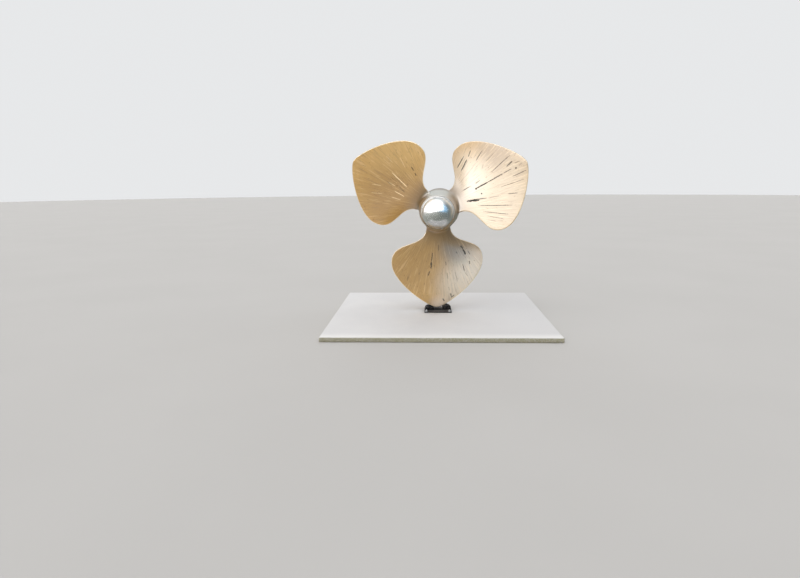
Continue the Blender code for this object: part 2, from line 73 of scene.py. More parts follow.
SAME_PLACE = 0.00001  # points this near are one
CUT_PAST = 0.01  # how far a cutting piece reaches past what it cuts

# How the shaft line lies over the lowest blade's tip
PAD_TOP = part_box("concrete_pad")[1].z
TIP_X = -0.016
TIP_Y = 0.049
TIP_LIFT = 0.044
NOSE_DOWN = math.radians(2.1)
NOSE_TURN = math.radians(-3.2)
SPIN = math.radians(-0.7)

# Blades
BLADE_COUNT = 3
LOWEST_BLADE = math.radians(270)
TIP_RADIUS = 1.14
PITCH = 1.50
RAKE = 0.20
BLADE_ROOT_DEPTH = 0.12
NECK = np.array((0.134, 0.20))
NECK_HANDLE = np.array((0.028, 0.256))
WIDEST = np.array((0.535, 0.595))
WIDEST_HANDLE_IN = 0.287
WIDEST_HANDLE_OUT = 0.237
TIP_HANDLE = 0.111
ROOT_THICKNESS = 0.085
TIP_THICKNESS = 0.018
EDGE_THICKNESS = 0.013
ROOT_FILLET = 0.055
EDGE_FILLET = 0.018
FILLET_END = 0.05  # where the fillets straighten, as a share of their radius above the hub
SEAM_REACH = 0.40  # from the shaft line, past every seam of a blade with the hub
SLIVER = 0.0004

# Hub, forward (+) and back (-) from the blades' centre line
HUB_FRONT = 0.38
HUB_REAR = -0.22
HUB_REAR_RADIUS = 0.245
HUB_FRONT_RADIUS = 0.200
HUB_EDGE_ROUND = 0.006
HUB_STEPS = 42
BORE_REAR_RADIUS = 0.105
BORE_TAPER = 1 / 24
KEYWAY_WIDTH = 0.050
KEYWAY_DEPTH = 0.024
# Blade edges are rubbed, and also painted lighter there as a highlight where they catch light.
WORN_EDGE = 0.013  # how far in from a blade's edge it is rubbed
WORN_FROM_RADIUS = 0.26
WORN_FADE = 0.05

# Cap
CAP_DOME_RADIUS = 0.176
CAP_DOME_HEIGHT = 0.130
CAP_WALL = 0.012
CAP_FLANGE_RADIUS = 0.193
CAP_FLANGE_THICKNESS = 0.022
CAP_LIP = 0.026
CAP_EDGE_ROUND = 0.0025
CAP_FILLET = 0.003
SCREW_COUNT = 6
FIRST_SCREW = 0.25  # where the first one lies, in steps from the right
SCREW_DIAMETER = 0.008
SCREW_HEAD_DIAMETER = 0.012
SCREW_HEAD_HEIGHT = 0.006
SCREW_HEAD_SINK = 0.003
SCREW_HEAD_ROUND = 0.0012
SCREW_DEPTH = 0.030
SOCKET_FLATS = 0.006
SOCKET_DEPTH = 0.0035

# Bracket
JAW_INNER = 0.054
JAW_OUTER = 0.152
JAW_THICKNESS = 0.018
JAW_SLOT = 0.0156
JAW_BOLT_DIAMETER = 0.014
JAW_BOLT_STICK_OUT = 0.006
ANCHORS = (1, 2, 3, 4)
ANCHOR_DIAMETER = 0.016
GUSSET_THICKNESS = 0.012
GUSSET_LENGTH = 0.050
PLATE_EDGE_ROUND = 0.0015
WELD_RADIUS = 0.0045
GUSSET_WELD_RADIUS = 0.0035
WELD_RIPPLE = 0.0035
WELD_WAVE = 0.14  # of its radius, from the top of a ripple to its foot
WELD_END = 0.05  # how thin a bead is at its ends, as the square of its share of the radius
WELD_STEPS = 14
SHARP_EDGE = math.radians(40)  # edges over this are rounded

# Nuts, bolts and studs, in thread diameters
HEX_FLATS = 1.6
HEX_HEAD_HEIGHT = 0.65
HEX_NUT_HEIGHT = 0.8
THREAD_DEPTH = 0.055
THREAD_PITCH = 0.125

NUT_MOUTH = 1.12  # the ends of a nut's hole, in radii of the hole
WASHER_ROUND = 0.3  # the rounding of a washer's upper edge, in its thicknesses

# How far each fastener is turned past the one before it, in degrees
ANCHOR_NUT_TURN = 17
JAW_BOLT_TURN = 23
JAW_NUT_TURN = 11

# Hexagons, in widths over the flats
HEX_FACE_RADIUS = 0.475
HEX_TURNED_RADIUS = 0.6
HEX_TURNED_DROP = 0.072

# Pad
PAD_CELLS = 122
PAD_EDGE_ROUND = 0.009
PAD_EDGE_BAND = 0.02  # the width in which the slab's edge wanders
PAD_EDGE_INWARD = 0.0012  # how far it lies inward on the whole
PAD_EDGE_WANDER = 0.0006  # half of how far it wanders to either side of that
PAD_DIP = 0.0004  # how far its top lies too low on the whole, and rises and falls from that

# Fineness
BLADE_SEGMENTS = 128
BLADE_RINGS = 144
ROOT_SHARE = 0.10  # of a blade's rings, which lie below its neck
WIDEST_SHARE = 0.60  # of a blade's rings, up to its widest place
NECK_CROWDING = 1.5
TIP_CROWDING = 1.6
EDGE_STEPS = 2400  # places on a blade's outline, from which distances to its edge are measured
ROUND_STEPS = 128
CAP_STEPS = 36
BORE_STEPS = 96
NUT_STEPS = 48
SMALL_STEPS = 32
THREAD_STEPS = 24

# Camera, fitted to the pad's corners
CAMERA_PLACE = (-0.1301, -6.973, 1.5856)
CAMERA_YAW = math.radians(-2.67)
CAMERA_PITCH = math.radians(10.27)
CAMERA_ROLL = math.radians(-0.49)
CAMERA_LENS = 26.854
CAMERA_SENSOR = 36

# Floor and light
FLOOR_RADIUS = 60
FLOOR_DROP = 0.0005  # below the pad's underside
SOFT_LIGHT_ANGLE = math.radians(50)
GROUND_FROM = (-0.10, -0.57, -0.82)
GROUND_STRENGTH = 1.75
GROUND_TINT = (1.0, 0.96, 0.90)
BACK_FROM = (-0.05, 0.85, 0.45)
BACK_STRENGTH = 1.0
BACK_TINT = (0.95, 0.97, 1.0)
PLAIN_SKY = (0.80, 0.81, 0.82, 1)
SOFT_LOW = (0.05, 0.05, 0.05)
SOFT_HIGH = (2.30, 2.30, 2.32)
MIRRORED_LOW = (0.50, 0.53, 0.54)
MIRRORED_HIGH = (0.85, 0.88, 0.90)
MIRRORED_BELT = (0.20, 0.22, 0.19)
# What the glossy finishes mirror: where each panel's middle lies, the outer and the inner end of its
# soft edge in degrees from there, and its colour
PANELS = (
    ((0.95, -0.30, 0.10), 60, 34, (0.20, 0.23, 0.22)),
    ((0.52, -0.78, 0.36), 36, 10, (0.45, 0.82, 1.20)),
    ((-0.95, -0.28, 0.12), 42, 18, (3.6, 3.4, 3.3)),
    ((-0.70, -0.59, 0.41), 36, 14, (5.0, 4.85, 4.75)),
    ((-0.24, -0.66, 0.71), 46, 22, (5.7, 5.6, 5.5)),
    ((0.30, -0.87, 0.39), 16, 5, (3.0, 3.0, 2.95)),
)


# Handling pieces


def alone(piece):
    """Makes this piece the active one and the only one selected."""
    bpy.ops.object.select_all(action="DESELECT")
    piece.select_set(True)
    bpy.context.view_layer.objects.active = piece
    return piece


def primitive(name, add, **settings):
    """A new primitive under this name."""
    bpy.ops.object.select_all(action="DESELECT")
    add(**settings)
    piece = bpy.context.object
    piece.name = name
    piece.data.name = name
    return piece


@contextmanager
def editing(piece):
    """Edit mode on this piece, with all its points selected."""
    alone(piece)
    bpy.ops.object.mode_set(mode="EDIT")
    bpy.ops.mesh.select_mode(type="VERT")
    bpy.ops.mesh.select_all(action="SELECT")
    yield
    bpy.ops.object.mode_set(mode="OBJECT")


@contextmanager
def editing_only(piece, kind, wanted):
    """Edit mode on this piece, with only the wanted points ("VERT") or edges ("EDGE") selected."""
    with editing(piece):
        bpy.ops.mesh.select_mode(type=kind)
        bpy.ops.mesh.select_all(action="DESELECT")
    parts = piece.data.vertices if kind == "VERT" else piece.data.edges
    parts.foreach_set("select", wanted)
    bpy.ops.object.mode_set(mode="EDIT")
    yield
    bpy.ops.object.mode_set(mode="OBJECT")


def with_modifier(piece, kind, **settings):
    """Adds a modifier to a piece and applies it."""
    alone(piece)
    modifier = piece.modifiers.new(kind.lower(), kind)
    for key, value in settings.items():
        setattr(modifier, key, value)
    bpy.ops.object.modifier_apply(modifier=modifier.name)
    return piece


def join_or_cut(piece, other, operation):
    """Joins another closed piece to this one, cuts it away, or keeps what both hold. The other one goes."""
    with_modifier(piece, "BOOLEAN", operation=operation, object=other, solver="MANIFOLD")
    bpy.data.objects.remove(other)
    return piece


def copy_of(piece, name, placing=None):
    """A copy with its own mesh, placed by a matrix."""
    copy = piece.copy()
    copy.data = piece.data.copy()
    copy.name = name
    copy.data.name = name
    bpy.context.collection.objects.link(copy)
    if placing:
        copy.data.transform(placing)
    return copy


def joined(pieces):
    """One piece made of several, under the first one's name."""
    alone(pieces[0])
    for piece in pieces:
        piece.select_set(True)
    bpy.ops.object.join()
    return pieces[0]


def settle(piece):
    """Puts the piece's place, turn and size in its mesh."""
    alone(piece)
    bpy.ops.object.transform_apply(location=True, rotation=True, scale=True)
    return piece


def finish(piece, material, *nodes, smooth_up_to=35):
    """Shades a finished piece, gives it its material, and puts it in the place of its solids."""
    alone(piece)
    bpy.ops.object.shade_smooth_by_angle(angle=math.radians(smooth_up_to))
    piece.data.materials.clear()
    piece.data.materials.append(material)
    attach(piece, BODY)
    if nodes:
        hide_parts(*nodes)
    return piece


def turned(name, profile, steps=ROUND_STEPS):
    """A piece turned about Z: a point drawn through (radius, height) places and spun round."""
    piece = primitive(name, bpy.ops.mesh.primitive_plane_add, size=1)
    radius, height = profile[0]
    with editing(piece):
        bpy.ops.mesh.merge(type="CENTER")
        bpy.ops.transform.translate(value=(radius, 0, height))
        for next_radius, next_height in profile[1:]:
            step = (next_radius - radius, 0, next_height - height)
            bpy.ops.mesh.extrude_region_move(TRANSFORM_OT_translate={"value": step})
            radius, height = next_radius, next_height
        bpy.ops.mesh.select_all(action="SELECT")
        bpy.ops.mesh.spin(steps=steps, angle=2 * math.pi, center=(0, 0, 0), axis=(0, 0, 1))
        bpy.ops.mesh.select_all(action="SELECT")
        bpy.ops.mesh.remove_doubles(threshold=2 * SAME_PLACE)
        bpy.ops.mesh.normals_make_consistent(inside=False)
    return piece


def rod(name, radius, low, high, steps=SMALL_STEPS):
    """A rod on the Z axis, from its low to its high end."""
    settings = {"vertices": steps, "radius": radius, "depth": high - low}
    middle = (0, 0, (low + high) / 2)
    return settle(primitive(name, bpy.ops.mesh.primitive_cylinder_add, location=middle, **settings))


def drill(piece, radius, low, high, placing):
    """Cuts a round hole from a low to a high end, along the Z axis of a matrix."""
    hole = rod("drill", radius, low, high)
    hole.data.transform(placing)
    join_or_cut(piece, hole, "DIFFERENCE")


def arc(centre, radius, start, end, steps=5):
    """(radius, height) places on an arc, from start to end degrees, counted from outward towards up."""
    angles = np.radians(np.linspace(start, end, steps + 1))
    return [(centre[0] + radius * math.cos(a), centre[1] + radius * math.sin(a)) for a in angles]


def read_places(mesh, parts="vertices", what="co"):
    """The places or directions of a mesh's points, one row each."""
    values = np.empty(len(getattr(mesh, parts)) * 3)
    getattr(mesh, parts).foreach_get(what, values)
    return values.reshape(-1, 3)


def middle_of(node):
    low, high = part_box(node)
    return (low + high) / 2


# Propeller casting


def bezier(first, second, third, last, shares):
    """Places on a curve from the first to the last place, at these shares of its run."""
    shares = shares[:, None]
    rest = 1 - shares
    return rest**3 * first + 3 * rest**2 * shares * second + 3 * rest * shares**2 * third + shares**3 * last


def outline_at(heights):
    """(half width, distance from the shaft line) up the blade, from 0 at its root to 1 at its tip."""
    tip = np.array((0, TIP_RADIUS))
    up_neck = np.clip((heights - ROOT_SHARE) / (WIDEST_SHARE - ROOT_SHARE), 0, 1) ** NECK_CROWDING
    up_tip = 1 - (1 - np.clip((heights - WIDEST_SHARE) / (1 - WIDEST_SHARE), 0, 1)) ** TIP_CROWDING
    lower = bezier(NECK, NECK + NECK_HANDLE, WIDEST - (0, WIDEST_HANDLE_IN), WIDEST, up_neck)
    upper = bezier(WIDEST, WIDEST + (0, WIDEST_HANDLE_OUT), tip + (TIP_HANDLE, 0), tip, up_tip)
    places = np.where(heights[:, None] < WIDEST_SHARE, lower, upper)
    below = heights < ROOT_SHARE
    down = 1 - heights[below] / ROOT_SHARE
    places[below, 1] = NECK[1] - (NECK[1] - BLADE_ROOT_DEPTH) * down**2
    return places


def edge_tree():
    """The blade's outline as a tree of places, for measuring how far a place lies from the edge."""
    places = outline_at(np.linspace(0, 1, EDGE_STEPS))
    tree = KDTree(len(places))
    for number, (half_width, along) in enumerate(places):
        tree.insert((half_width, along, 0), number)
    tree.balance()
    return tree


def distance_to_edge(tree, across, along):
    """How far places on a flattened blade lie from its edge."""
    places = zip(np.abs(across), along)
    return np.array([tree.find((half_width, height, 0))[2] for half_width, height in places])


def hub_radius(forward):
    """The hub's radius at this distance forward of the blades' centre line."""
    share = (forward - HUB_REAR) / (HUB_FRONT - HUB_REAR)
    return HUB_REAR_RADIUS - (HUB_REAR_RADIUS - HUB_FRONT_RADIUS) * share**2


def blade_places(across, along, height):
    """Places on the lowest blade in the propeller's own axes, with heights forward of its middle surface."""
    radius = np.hypot(across, along)
    turn = np.arctan2(across, along)
    angle = LOWEST_BLADE + SPIN - turn
    none = np.zeros_like(angle)
    outward = np.stack((np.cos(angle), none, np.sin(angle)), 1)
    clockwise = np.stack((np.sin(angle), none, -np.cos(angle)), 1)
    ahead = np.array((0, -1, 0))
    twist = PITCH / (2 * math.pi)
    normal = radius[:, None] * ahead - twist * clockwise - RAKE * radius[:, None] * outward
    normal /= np.linalg.norm(normal, axis=1)[:, None]
    forward = twist * turn + RAKE * radius
    return outward * radius[:, None] + ahead * forward[:, None] + normal * height[:, None]


def half_thickness(radius, share, to_edge):
    """Half the blade's thickness: a lens across the blade, with a round edge."""
    up = np.clip((radius - NECK[1]) / (TIP_RADIUS - NECK[1]), 0, None)
    middle = ROOT_THICKNESS + (TIP_THICKNESS - ROOT_THICKNESS) * up
    edge = EDGE_THICKNESS / 2
    inside = np.minimum(to_edge, edge)
    return np.sqrt(edge**2 - (edge - inside) ** 2) + (middle / 2 - edge) * (1 - share**2)


def make_blade(tree):
    """A ball whose rings are pressed into the blade's sections, from its root up to its tip."""
    settings = {"segments": BLADE_SEGMENTS, "ring_count": BLADE_RINGS, "radius": 1}
    blade = primitive("blade", bpy.ops.mesh.primitive_uv_sphere_add, **settings)
    ball = read_places(blade.data)
    heights = np.arccos(np.clip(-ball[:, 2], -1, 1)) / math.pi
    heights = np.round(heights * BLADE_RINGS) / BLADE_RINGS
    girth = np.hypot(ball[:, 0], ball[:, 1])
    pole = 0.001  # the ball's ends have less girth than this
    share = np.where(girth > pole, ball[:, 0] / np.maximum(girth, pole), 0)
    side = np.sign(np.where(np.abs(ball[:, 1]) > SAME_PLACE, ball[:, 1], 0))
    outline = outline_at(heights)
    radius = np.hypot(outline[:, 0], outline[:, 1])
    half_turn = np.arctan2(outline[:, 0], outline[:, 1])
    across = radius * np.sin(share * half_turn)
    along = radius * np.cos(share * half_turn)
    to_edge = np.where(side == 0, 0, distance_to_edge(tree, across, along))
    height = side * half_thickness(radius, share, to_edge)
    blade.data.vertices.foreach_set("co", blade_places(across, along, height).ravel())
    with editing(blade):
        bpy.ops.mesh.normals_make_consistent(inside=False)
    places = read_places(blade.data)
    normals = read_places(blade.data, "vertex_normals", "vector")
    fillet = EDGE_FILLET + (ROOT_FILLET - EDGE_FILLET) * (1 - share**2)
    blade.data.vertices.foreach_set("co", flared(places, normals, fillet).ravel())
    blade.data.update()
    return blade


def flared(places, normals, fillet):
    """Moves the places near the hub outward, to a round fillet that runs into the hub at a slight slope."""
    outside = np.hypot(places[:, 0], places[:, 2]) - hub_radius(-places[:, 1])
    last = FILLET_END * fillet
    over = np.clip(outside, last, fillet)
    flare = fillet - np.sqrt(fillet**2 - (fillet - over) ** 2)
    slope = (fillet - last) / np.sqrt(fillet**2 - (fillet - last) ** 2)
    flare += slope * np.clip(last - outside, 0, 2 * last)
    moved = places + normals * flare[:, None]
    height = np.hypot(moved[:, 0], moved[:, 2])
    wanted = hub_radius(-moved[:, 1]) + outside
    moved[:, [0, 2]] *= np.where(flare > 0, wanted / height, 1)[:, None]
    return moved


def shaft_line():
    """The matrix from the propeller's own axes to the world."""
    turn = Matrix.Rotation(NOSE_TURN, 3, "Z") @ Matrix.Rotation(NOSE_DOWN, 3, "X")
    lowest = blade_places(np.zeros(1), np.array([TIP_RADIUS]), np.zeros(1))[0]
    centre = Vector((TIP_X, TIP_Y, PAD_TOP + TIP_LIFT)) - turn @ Vector(lowest)
    return Matrix.LocRotScale(centre, turn, None)


SHAFT = shaft_line()
UPRIGHT_TO_SHAFT = SHAFT @ Matrix.Rotation(math.pi / 2, 4, "X")


def make_hub():
    """The tapered barrel, upright, with its front at the top."""
    low = HUB_REAR + HUB_EDGE_ROUND
    high = HUB_FRONT - HUB_EDGE_ROUND
    profile = [(0, HUB_FRONT), *arc((HUB_FRONT_RADIUS - HUB_EDGE_ROUND, high), HUB_EDGE_ROUND, 90, 0)]
    profile += [(hub_radius(forward), forward) for forward in np.linspace(high, low, HUB_STEPS)[1:-1]]
    profile += [*arc((HUB_REAR_RADIUS - HUB_EDGE_ROUND, low), HUB_EDGE_ROUND, 0, -90), (0, HUB_REAR)]
    return turned("bronze_casting", profile)


def cut_bore(casting):
    """The tapered bore with its keyway, open at both ends."""
    length = HUB_FRONT - HUB_REAR
    low, high = HUB_REAR - CUT_PAST, HUB_FRONT + CUT_PAST
    rear = BORE_REAR_RADIUS + BORE_TAPER * CUT_PAST
    front = BORE_REAR_RADIUS - BORE_TAPER * (length + CUT_PAST)
    profile = [(0, high), (front, high), (rear, low), (0, low)]
    join_or_cut(casting, turned("bore", profile, BORE_STEPS), "DIFFERENCE")
    top = BORE_REAR_RADIUS + KEYWAY_DEPTH
    settings = {"size": 1, "location": (0, top / 2, (HUB_FRONT + HUB_REAR) / 2)}
    keyway = primitive("keyway", bpy.ops.mesh.primitive_cube_add, **settings)
    keyway.scale = (KEYWAY_WIDTH, top, length + 2 * CUT_PAST)
    join_or_cut(casting, settle(keyway), "DIFFERENCE")


def cast_propeller(tree, material):
    """Hub and blades in one piece, with a soft fillet where they meet."""
    casting = make_hub()
    blade = make_blade(tree)
    to_upright = Matrix.Rotation(-math.pi / 2, 4, "X")
    for number in range(BLADE_COUNT):
        turn = Matrix.Rotation(-2 * math.pi * number / BLADE_COUNT, 4, "Y")
        other = copy_of(blade, f"blade_{number + 1}", to_upright @ turn)
        join_or_cut(casting, other, "UNION")
    bpy.data.objects.remove(blade)
    for number in range(SCREW_COUNT):
        ends = (HUB_FRONT - SCREW_DEPTH, HUB_FRONT + CUT_PAST)
        drill(casting, SCREW_DIAMETER / 2 + GAP, *ends, screw_place(number))
    cut_bore(casting)
    merge_slivers(casting)
    casting.data.transform(Matrix.Rotation(math.pi / 2, 4, "X"))
    mark_edges(casting, tree)
    casting.data.transform(SHAFT)
    return finish(casting, material, "propeller_casting", smooth_up_to=50)


def merge_slivers(casting):
    """Merges the points that crowd where the fillets run into the hub."""
    places = read_places(casting.data)
    with editing_only(casting, "VERT", np.hypot(places[:, 0], places[:, 1]) < SEAM_REACH):
        bpy.ops.mesh.remove_doubles(threshold=SLIVER)


def mark_edges(casting, tree):
    """Stores on each point how near it lies to a blade's edge, from 1 at the edge to 0."""
    places = read_places(casting.data)
    radius = np.hypot(places[:, 0], places[:, 2])
    step = 2 * math.pi / BLADE_COUNT
    turn = LOWEST_BLADE + SPIN - np.arctan2(places[:, 2], places[:, 0])
    turn = (turn + step / 2) % step - step / 2
    to_edge = distance_to_edge(tree, radius * np.sin(turn), radius * np.cos(turn))
    past_hub = np.clip((radius - WORN_FROM_RADIUS) / WORN_FADE, 0, 1)
    near = np.clip(1 - to_edge / WORN_EDGE, 0, 1) * past_hub
    attribute = casting.data.attributes.new("near_edge", "FLOAT", "POINT")
    attribute.data.foreach_set("value", near.astype(np.float32))


# Cap


def screw_place(number):
    """The matrix to one of the screws in the flange, upright."""
    circle = (CAP_DOME_RADIUS + CAP_FLANGE_RADIUS) / 2
    angle = 2 * math.pi * (number + FIRST_SCREW) / SCREW_COUNT
    return Matrix.Translation((circle * math.cos(angle), -circle * math.sin(angle), 0))


def make_cap(material, screw_material):
    """The domed cap, open at the back, with its flange and six sunk screws."""
    seat = HUB_FRONT + GAP
    flange_top = seat + CAP_FLANGE_THICKNESS
    base = flange_top + CAP_FILLET
    height = CAP_DOME_HEIGHT - CAP_FILLET
    angles = np.radians(np.linspace(0, 90, CAP_STEPS + 1))
    dome = [(CAP_DOME_RADIUS * math.sin(a), base + height * math.cos(a)) for a in angles]
    fillet = arc((CAP_DOME_RADIUS + CAP_FILLET, base), CAP_FILLET, 180, 270, 4)[1:]
    rim_top = (CAP_FLANGE_RADIUS - CAP_EDGE_ROUND, flange_top - CAP_EDGE_ROUND)
    rim_low = (CAP_FLANGE_RADIUS - CAP_EDGE_ROUND / 2, seat + CAP_EDGE_ROUND / 2)
    flange = [*arc(rim_top, CAP_EDGE_ROUND, 90, 0), *arc(rim_low, CAP_EDGE_ROUND / 2, 0, -90, 3)]
    mouth = CAP_DOME_RADIUS - CAP_LIP
    hollow = CAP_DOME_RADIUS - CAP_WALL
    hollow_height = CAP_DOME_HEIGHT - CAP_WALL
    inside = [(mouth, seat), (mouth, flange_top)]
    inside += [(hollow * math.sin(a), flange_top + hollow_height * math.cos(a)) for a in angles[::-2]]
    cap = turned("polished_cap_dome", dome + fillet + flange + inside)
    add_cap_screws(cap, seat, flange_top, screw_material)
    cap.data.transform(UPRIGHT_TO_SHAFT)
    return finish(cap, material, "hub_cap", smooth_up_to=30)


def add_cap_screws(cap, seat, flange_top, material):
    """Screws round the flange, each in a recess and a hole."""
    head_seat = flange_top - SCREW_HEAD_SINK
    over_fillet = flange_top + CAP_FILLET + CUT_PAST
    screw = make_cap_screw(head_seat + GAP)
    for number in range(SCREW_COUNT):
        place = screw_place(number)
        drill(cap, SCREW_HEAD_DIAMETER / 2 + 2 * GAP, head_seat, over_fillet, place)
        drill(cap, SCREW_DIAMETER / 2 + GAP, seat - CUT_PAST, flange_top, place)
        piece = copy_of(screw, f"socket_screw_{number + 1}", UPRIGHT_TO_SHAFT @ place)
        finish(piece, material, f"cap_screw_{number + 1}")
    bpy.data.objects.remove(screw)


def make_cap_screw(seat):
    """A socket head screw, its head's underside at this height."""
    radius = SCREW_HEAD_DIAMETER / 2
    shank = SCREW_DIAMETER / 2
    top = seat + SCREW_HEAD_HEIGHT
    low = HUB_FRONT - SCREW_DEPTH
    round_top = arc((radius - SCREW_HEAD_ROUND, top - SCREW_HEAD_ROUND), SCREW_HEAD_ROUND, 90, 0, 4)
    profile = [(0, top), *round_top, (radius, seat), (shank, seat), (shank, low), (0, low)]
    screw = turned("socket_screw", profile, SMALL_STEPS)
    socket = rod("socket", SOCKET_FLATS / math.sqrt(3), top - SOCKET_DEPTH, top + SOCKET_DEPTH, 6)
    return join_or_cut(screw, socket, "DIFFERENCE")


# Nuts, bolts and studs, upright with their seat at z = 0


def hexagon(name, diameter, height):
    """A hexagon for this thread, with its corners turned off at both ends."""
    flats = diameter * HEX_FLATS
    face = flats * HEX_FACE_RADIUS
    corner = flats * HEX_TURNED_RADIUS
    drop = flats * HEX_TURNED_DROP
    profile = [(0, height), (face, height), (corner, height - drop), (corner, drop), (face, 0), (0, 0)]
    blank = rod(name, flats / math.sqrt(3), 0, height, 6)
    return join_or_cut(blank, turned(name + "_chamfer", profile, NUT_STEPS), "INTERSECT")


def thread_profile(diameter, low, high):
    """(radius, height) places down a thread, as rings."""
    crest = diameter / 2
    root = crest - diameter * THREAD_DEPTH
    pitch = diameter * THREAD_PITCH
    ring = ((root, 0), (crest, 0.45), (crest, 0.55), (root, 0.95))
    places = [(0, high), (root, high)]
    for number in range(int((high - low) / pitch)):
        top = high - number * pitch
        places += [(radius, top - pitch * share) for radius, share in ring]
    return places + [(root, low), (0, low)]


def make_nut(name, diameter):
    """A nut for this thread, with its hole widened at both ends."""
    height = diameter * HEX_NUT_HEIGHT
    nut = hexagon(name, diameter, height)
    hole = diameter / 2 + GAP
    wide = hole * NUT_MOUTH
    past = 0.001
    profile = [(0, height + past), (wide, height + past), (wide, height), (hole, height - (wide - hole))]
    profile += [(hole, wide - hole), (wide, 0), (wide, -past), (0, -past)]
    return join_or_cut(nut, turned(name + "_hole", profile, SMALL_STEPS), "DIFFERENCE")


def make_washer(name, outer, inner, thickness):
    """A washer with a rounded upper edge."""
    rounding = thickness * WASHER_ROUND
    profile = [(inner, thickness), *arc((outer - rounding, thickness - rounding), rounding, 90, 0, 3)]
    profile += [(outer, 0), (inner, 0), (inner, thickness)]
    return turned(name, profile, NUT_STEPS)


def over_stud(number, height=0):
    """The matrix to one of the studs' axes, at this height."""
    middle = middle_of(f"anchor_stud_{number}")
    return Matrix.Translation((middle.x, middle.y, height))


def make_anchors(material):
    """The four studs in the pad, each with a washer and a nut."""
    nut = make_nut("nut_pattern", ANCHOR_DIAMETER)
    for number in ANCHORS:
        low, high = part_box(f"anchor_stud_{number}")
        profile = thread_profile(ANCHOR_DIAMETER, low.z, high.z)
        stud = turned(f"threaded_stud_{number}", profile, THREAD_STEPS)
        stud.data.transform(over_stud(number))
        finish(stud, material, f"anchor_stud_{number}")
        low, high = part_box(f"anchor_washer_{number}")
        size = ((high.x - low.x) / 2, ANCHOR_DIAMETER / 2 + GAP, high.z - low.z)
        washer = make_washer(f"round_washer_{number}", *size)
        washer.data.transform(over_stud(number, low.z))
        finish(washer, material, f"anchor_washer_{number}")
        low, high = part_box(f"anchor_nut_{number}")
        turn = Matrix.Rotation(math.radians(ANCHOR_NUT_TURN * number), 4, "Z")
        piece = copy_of(nut, f"chamfered_nut_{number}", over_stud(number, low.z) @ turn)
        finish(piece, material, f"anchor_nut_{number}")
    bpy.data.objects.remove(nut)


# Bracket


def jaw_line():
    """The matrix of the jaws' own axes: X along the blade's edge, with the base plate's top at z = 0."""
    left = middle_of("left_saddle")
    right = middle_of("right_saddle")
    middle = (left + right) / 2
    middle.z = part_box("bracket_base_plate")[1].z + GAP
    turn = math.atan2(right.y - left.y, right.x - left.x)
    return Matrix.Translation(middle) @ Matrix.Rotation(turn, 4, "Z")


def solid_copy(node, name):
    """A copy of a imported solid, with its triangles merged into whole faces."""
    piece = frame["nodes"][node].copy()
    piece.data = piece.data.copy()
    piece.parent = None
    piece.name = name
    piece.data.name = name
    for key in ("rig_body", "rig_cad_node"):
        if key in piece:
            del piece[key]
    bpy.context.collection.objects.link(piece)
    with editing(piece):
        bpy.ops.mesh.remove_doubles(threshold=SAME_PLACE)
        bpy.ops.mesh.dissolve_limited(angle_limit=math.radians(1))
    return piece


def round_edges(piece, width, segments=3):
    """Rounds all sharp edges."""
    settings = {"width": width, "segments": segments, "miter_outer": "MITER_ARC"}
    settings |= {"limit_method": "ANGLE", "angle_limit": SHARP_EDGE}
    return with_modifier(piece, "BEVEL", **settings)


def make_weld(name, start, end, radius=WELD_RADIUS):
    """A rippled bead from start to end."""
    start, end = Vector(start), Vector(end)
    length = (end - start).length
    ripples = max(round(length / WELD_RIPPLE), 3)
    bead = rod(name, radius, -length / 2, length / 2, WELD_STEPS)
    heights = read_places(bead.data)[:, 2]
    edges = np.array([tuple(edge.vertices) for edge in bead.data.edges])
    with editing_only(bead, "EDGE", np.ptp(heights[edges], axis=1) > length / 2):
        bpy.ops.mesh.subdivide(number_cuts=ripples * 4 - 1)
    places = read_places(bead.data)
    shares = places[:, 2] / length + 0.5
    wave = 1 - WELD_WAVE + WELD_WAVE * np.abs(np.sin(shares * ripples * math.pi))
    ends = np.clip(np.minimum(shares, 1 - shares) * length / radius, WELD_END, 1) ** 0.5
    places[:, :2] *= (wave * ends)[:, None]
    bead.data.vertices.foreach_set("co", places.ravel())
    turn = (end - start).to_track_quat("Z", "Y").to_matrix().to_4x4()
    bead.data.transform(Matrix.Translation((start + end) / 2) @ turn)
    return bead


def make_bracket(material):
    """The base plate, jaws, saddles and gussets with rounded edges, their welds and their bolts."""
    nodes = ["bracket_base_plate"]
    for side in ("left", "right"):
        nodes += [f"{side}_{part}" for part in ("front_jaw", "saddle", "rear_jaw", "gusset")]
    for node in nodes:
        width = PLATE_EDGE_ROUND / 2 if "saddle" in node else PLATE_EDGE_ROUND
        finish(round_edges(solid_copy(node, "rounded_" + node), width), material, node)
    line = jaw_line()
    add_welds(line, material)
    make_jaw_bolts(line, material)


def add_welds(line, material):
    """Beads round each pair of jaws and along both sides of each gusset, as one piece."""
    face = JAW_SLOT / 2 + JAW_THICKNESS
    back = face + GUSSET_LENGTH
    beads = []
    for side, word in ((-1, "left"), (1, "right")):
        inner, outer = side * JAW_INNER, side * JAW_OUTER
        for number, y in enumerate((-face, face)):
            beads.append(make_weld(f"{word}_jaw_weld_{number + 1}", (inner, y, 0), (outer, y, 0)))
        for number, x in enumerate((inner, outer)):
            beads.append(make_weld(f"{word}_end_weld_{number + 1}", (x, -face, 0), (x, face, 0)))
        for number, shift in enumerate((-1, 1)):
            name = f"{word}_gusset_weld_{number + 1}"
            x = (inner + outer) / 2 + shift * GUSSET_THICKNESS / 2
            beads.append(make_weld(name, (x, face, 0), (x, back, 0), GUSSET_WELD_RADIUS))
    welds = joined(beads)
    welds.name = "bracket_welds"
    welds.data.transform(line)
    finish(welds, material, smooth_up_to=60)


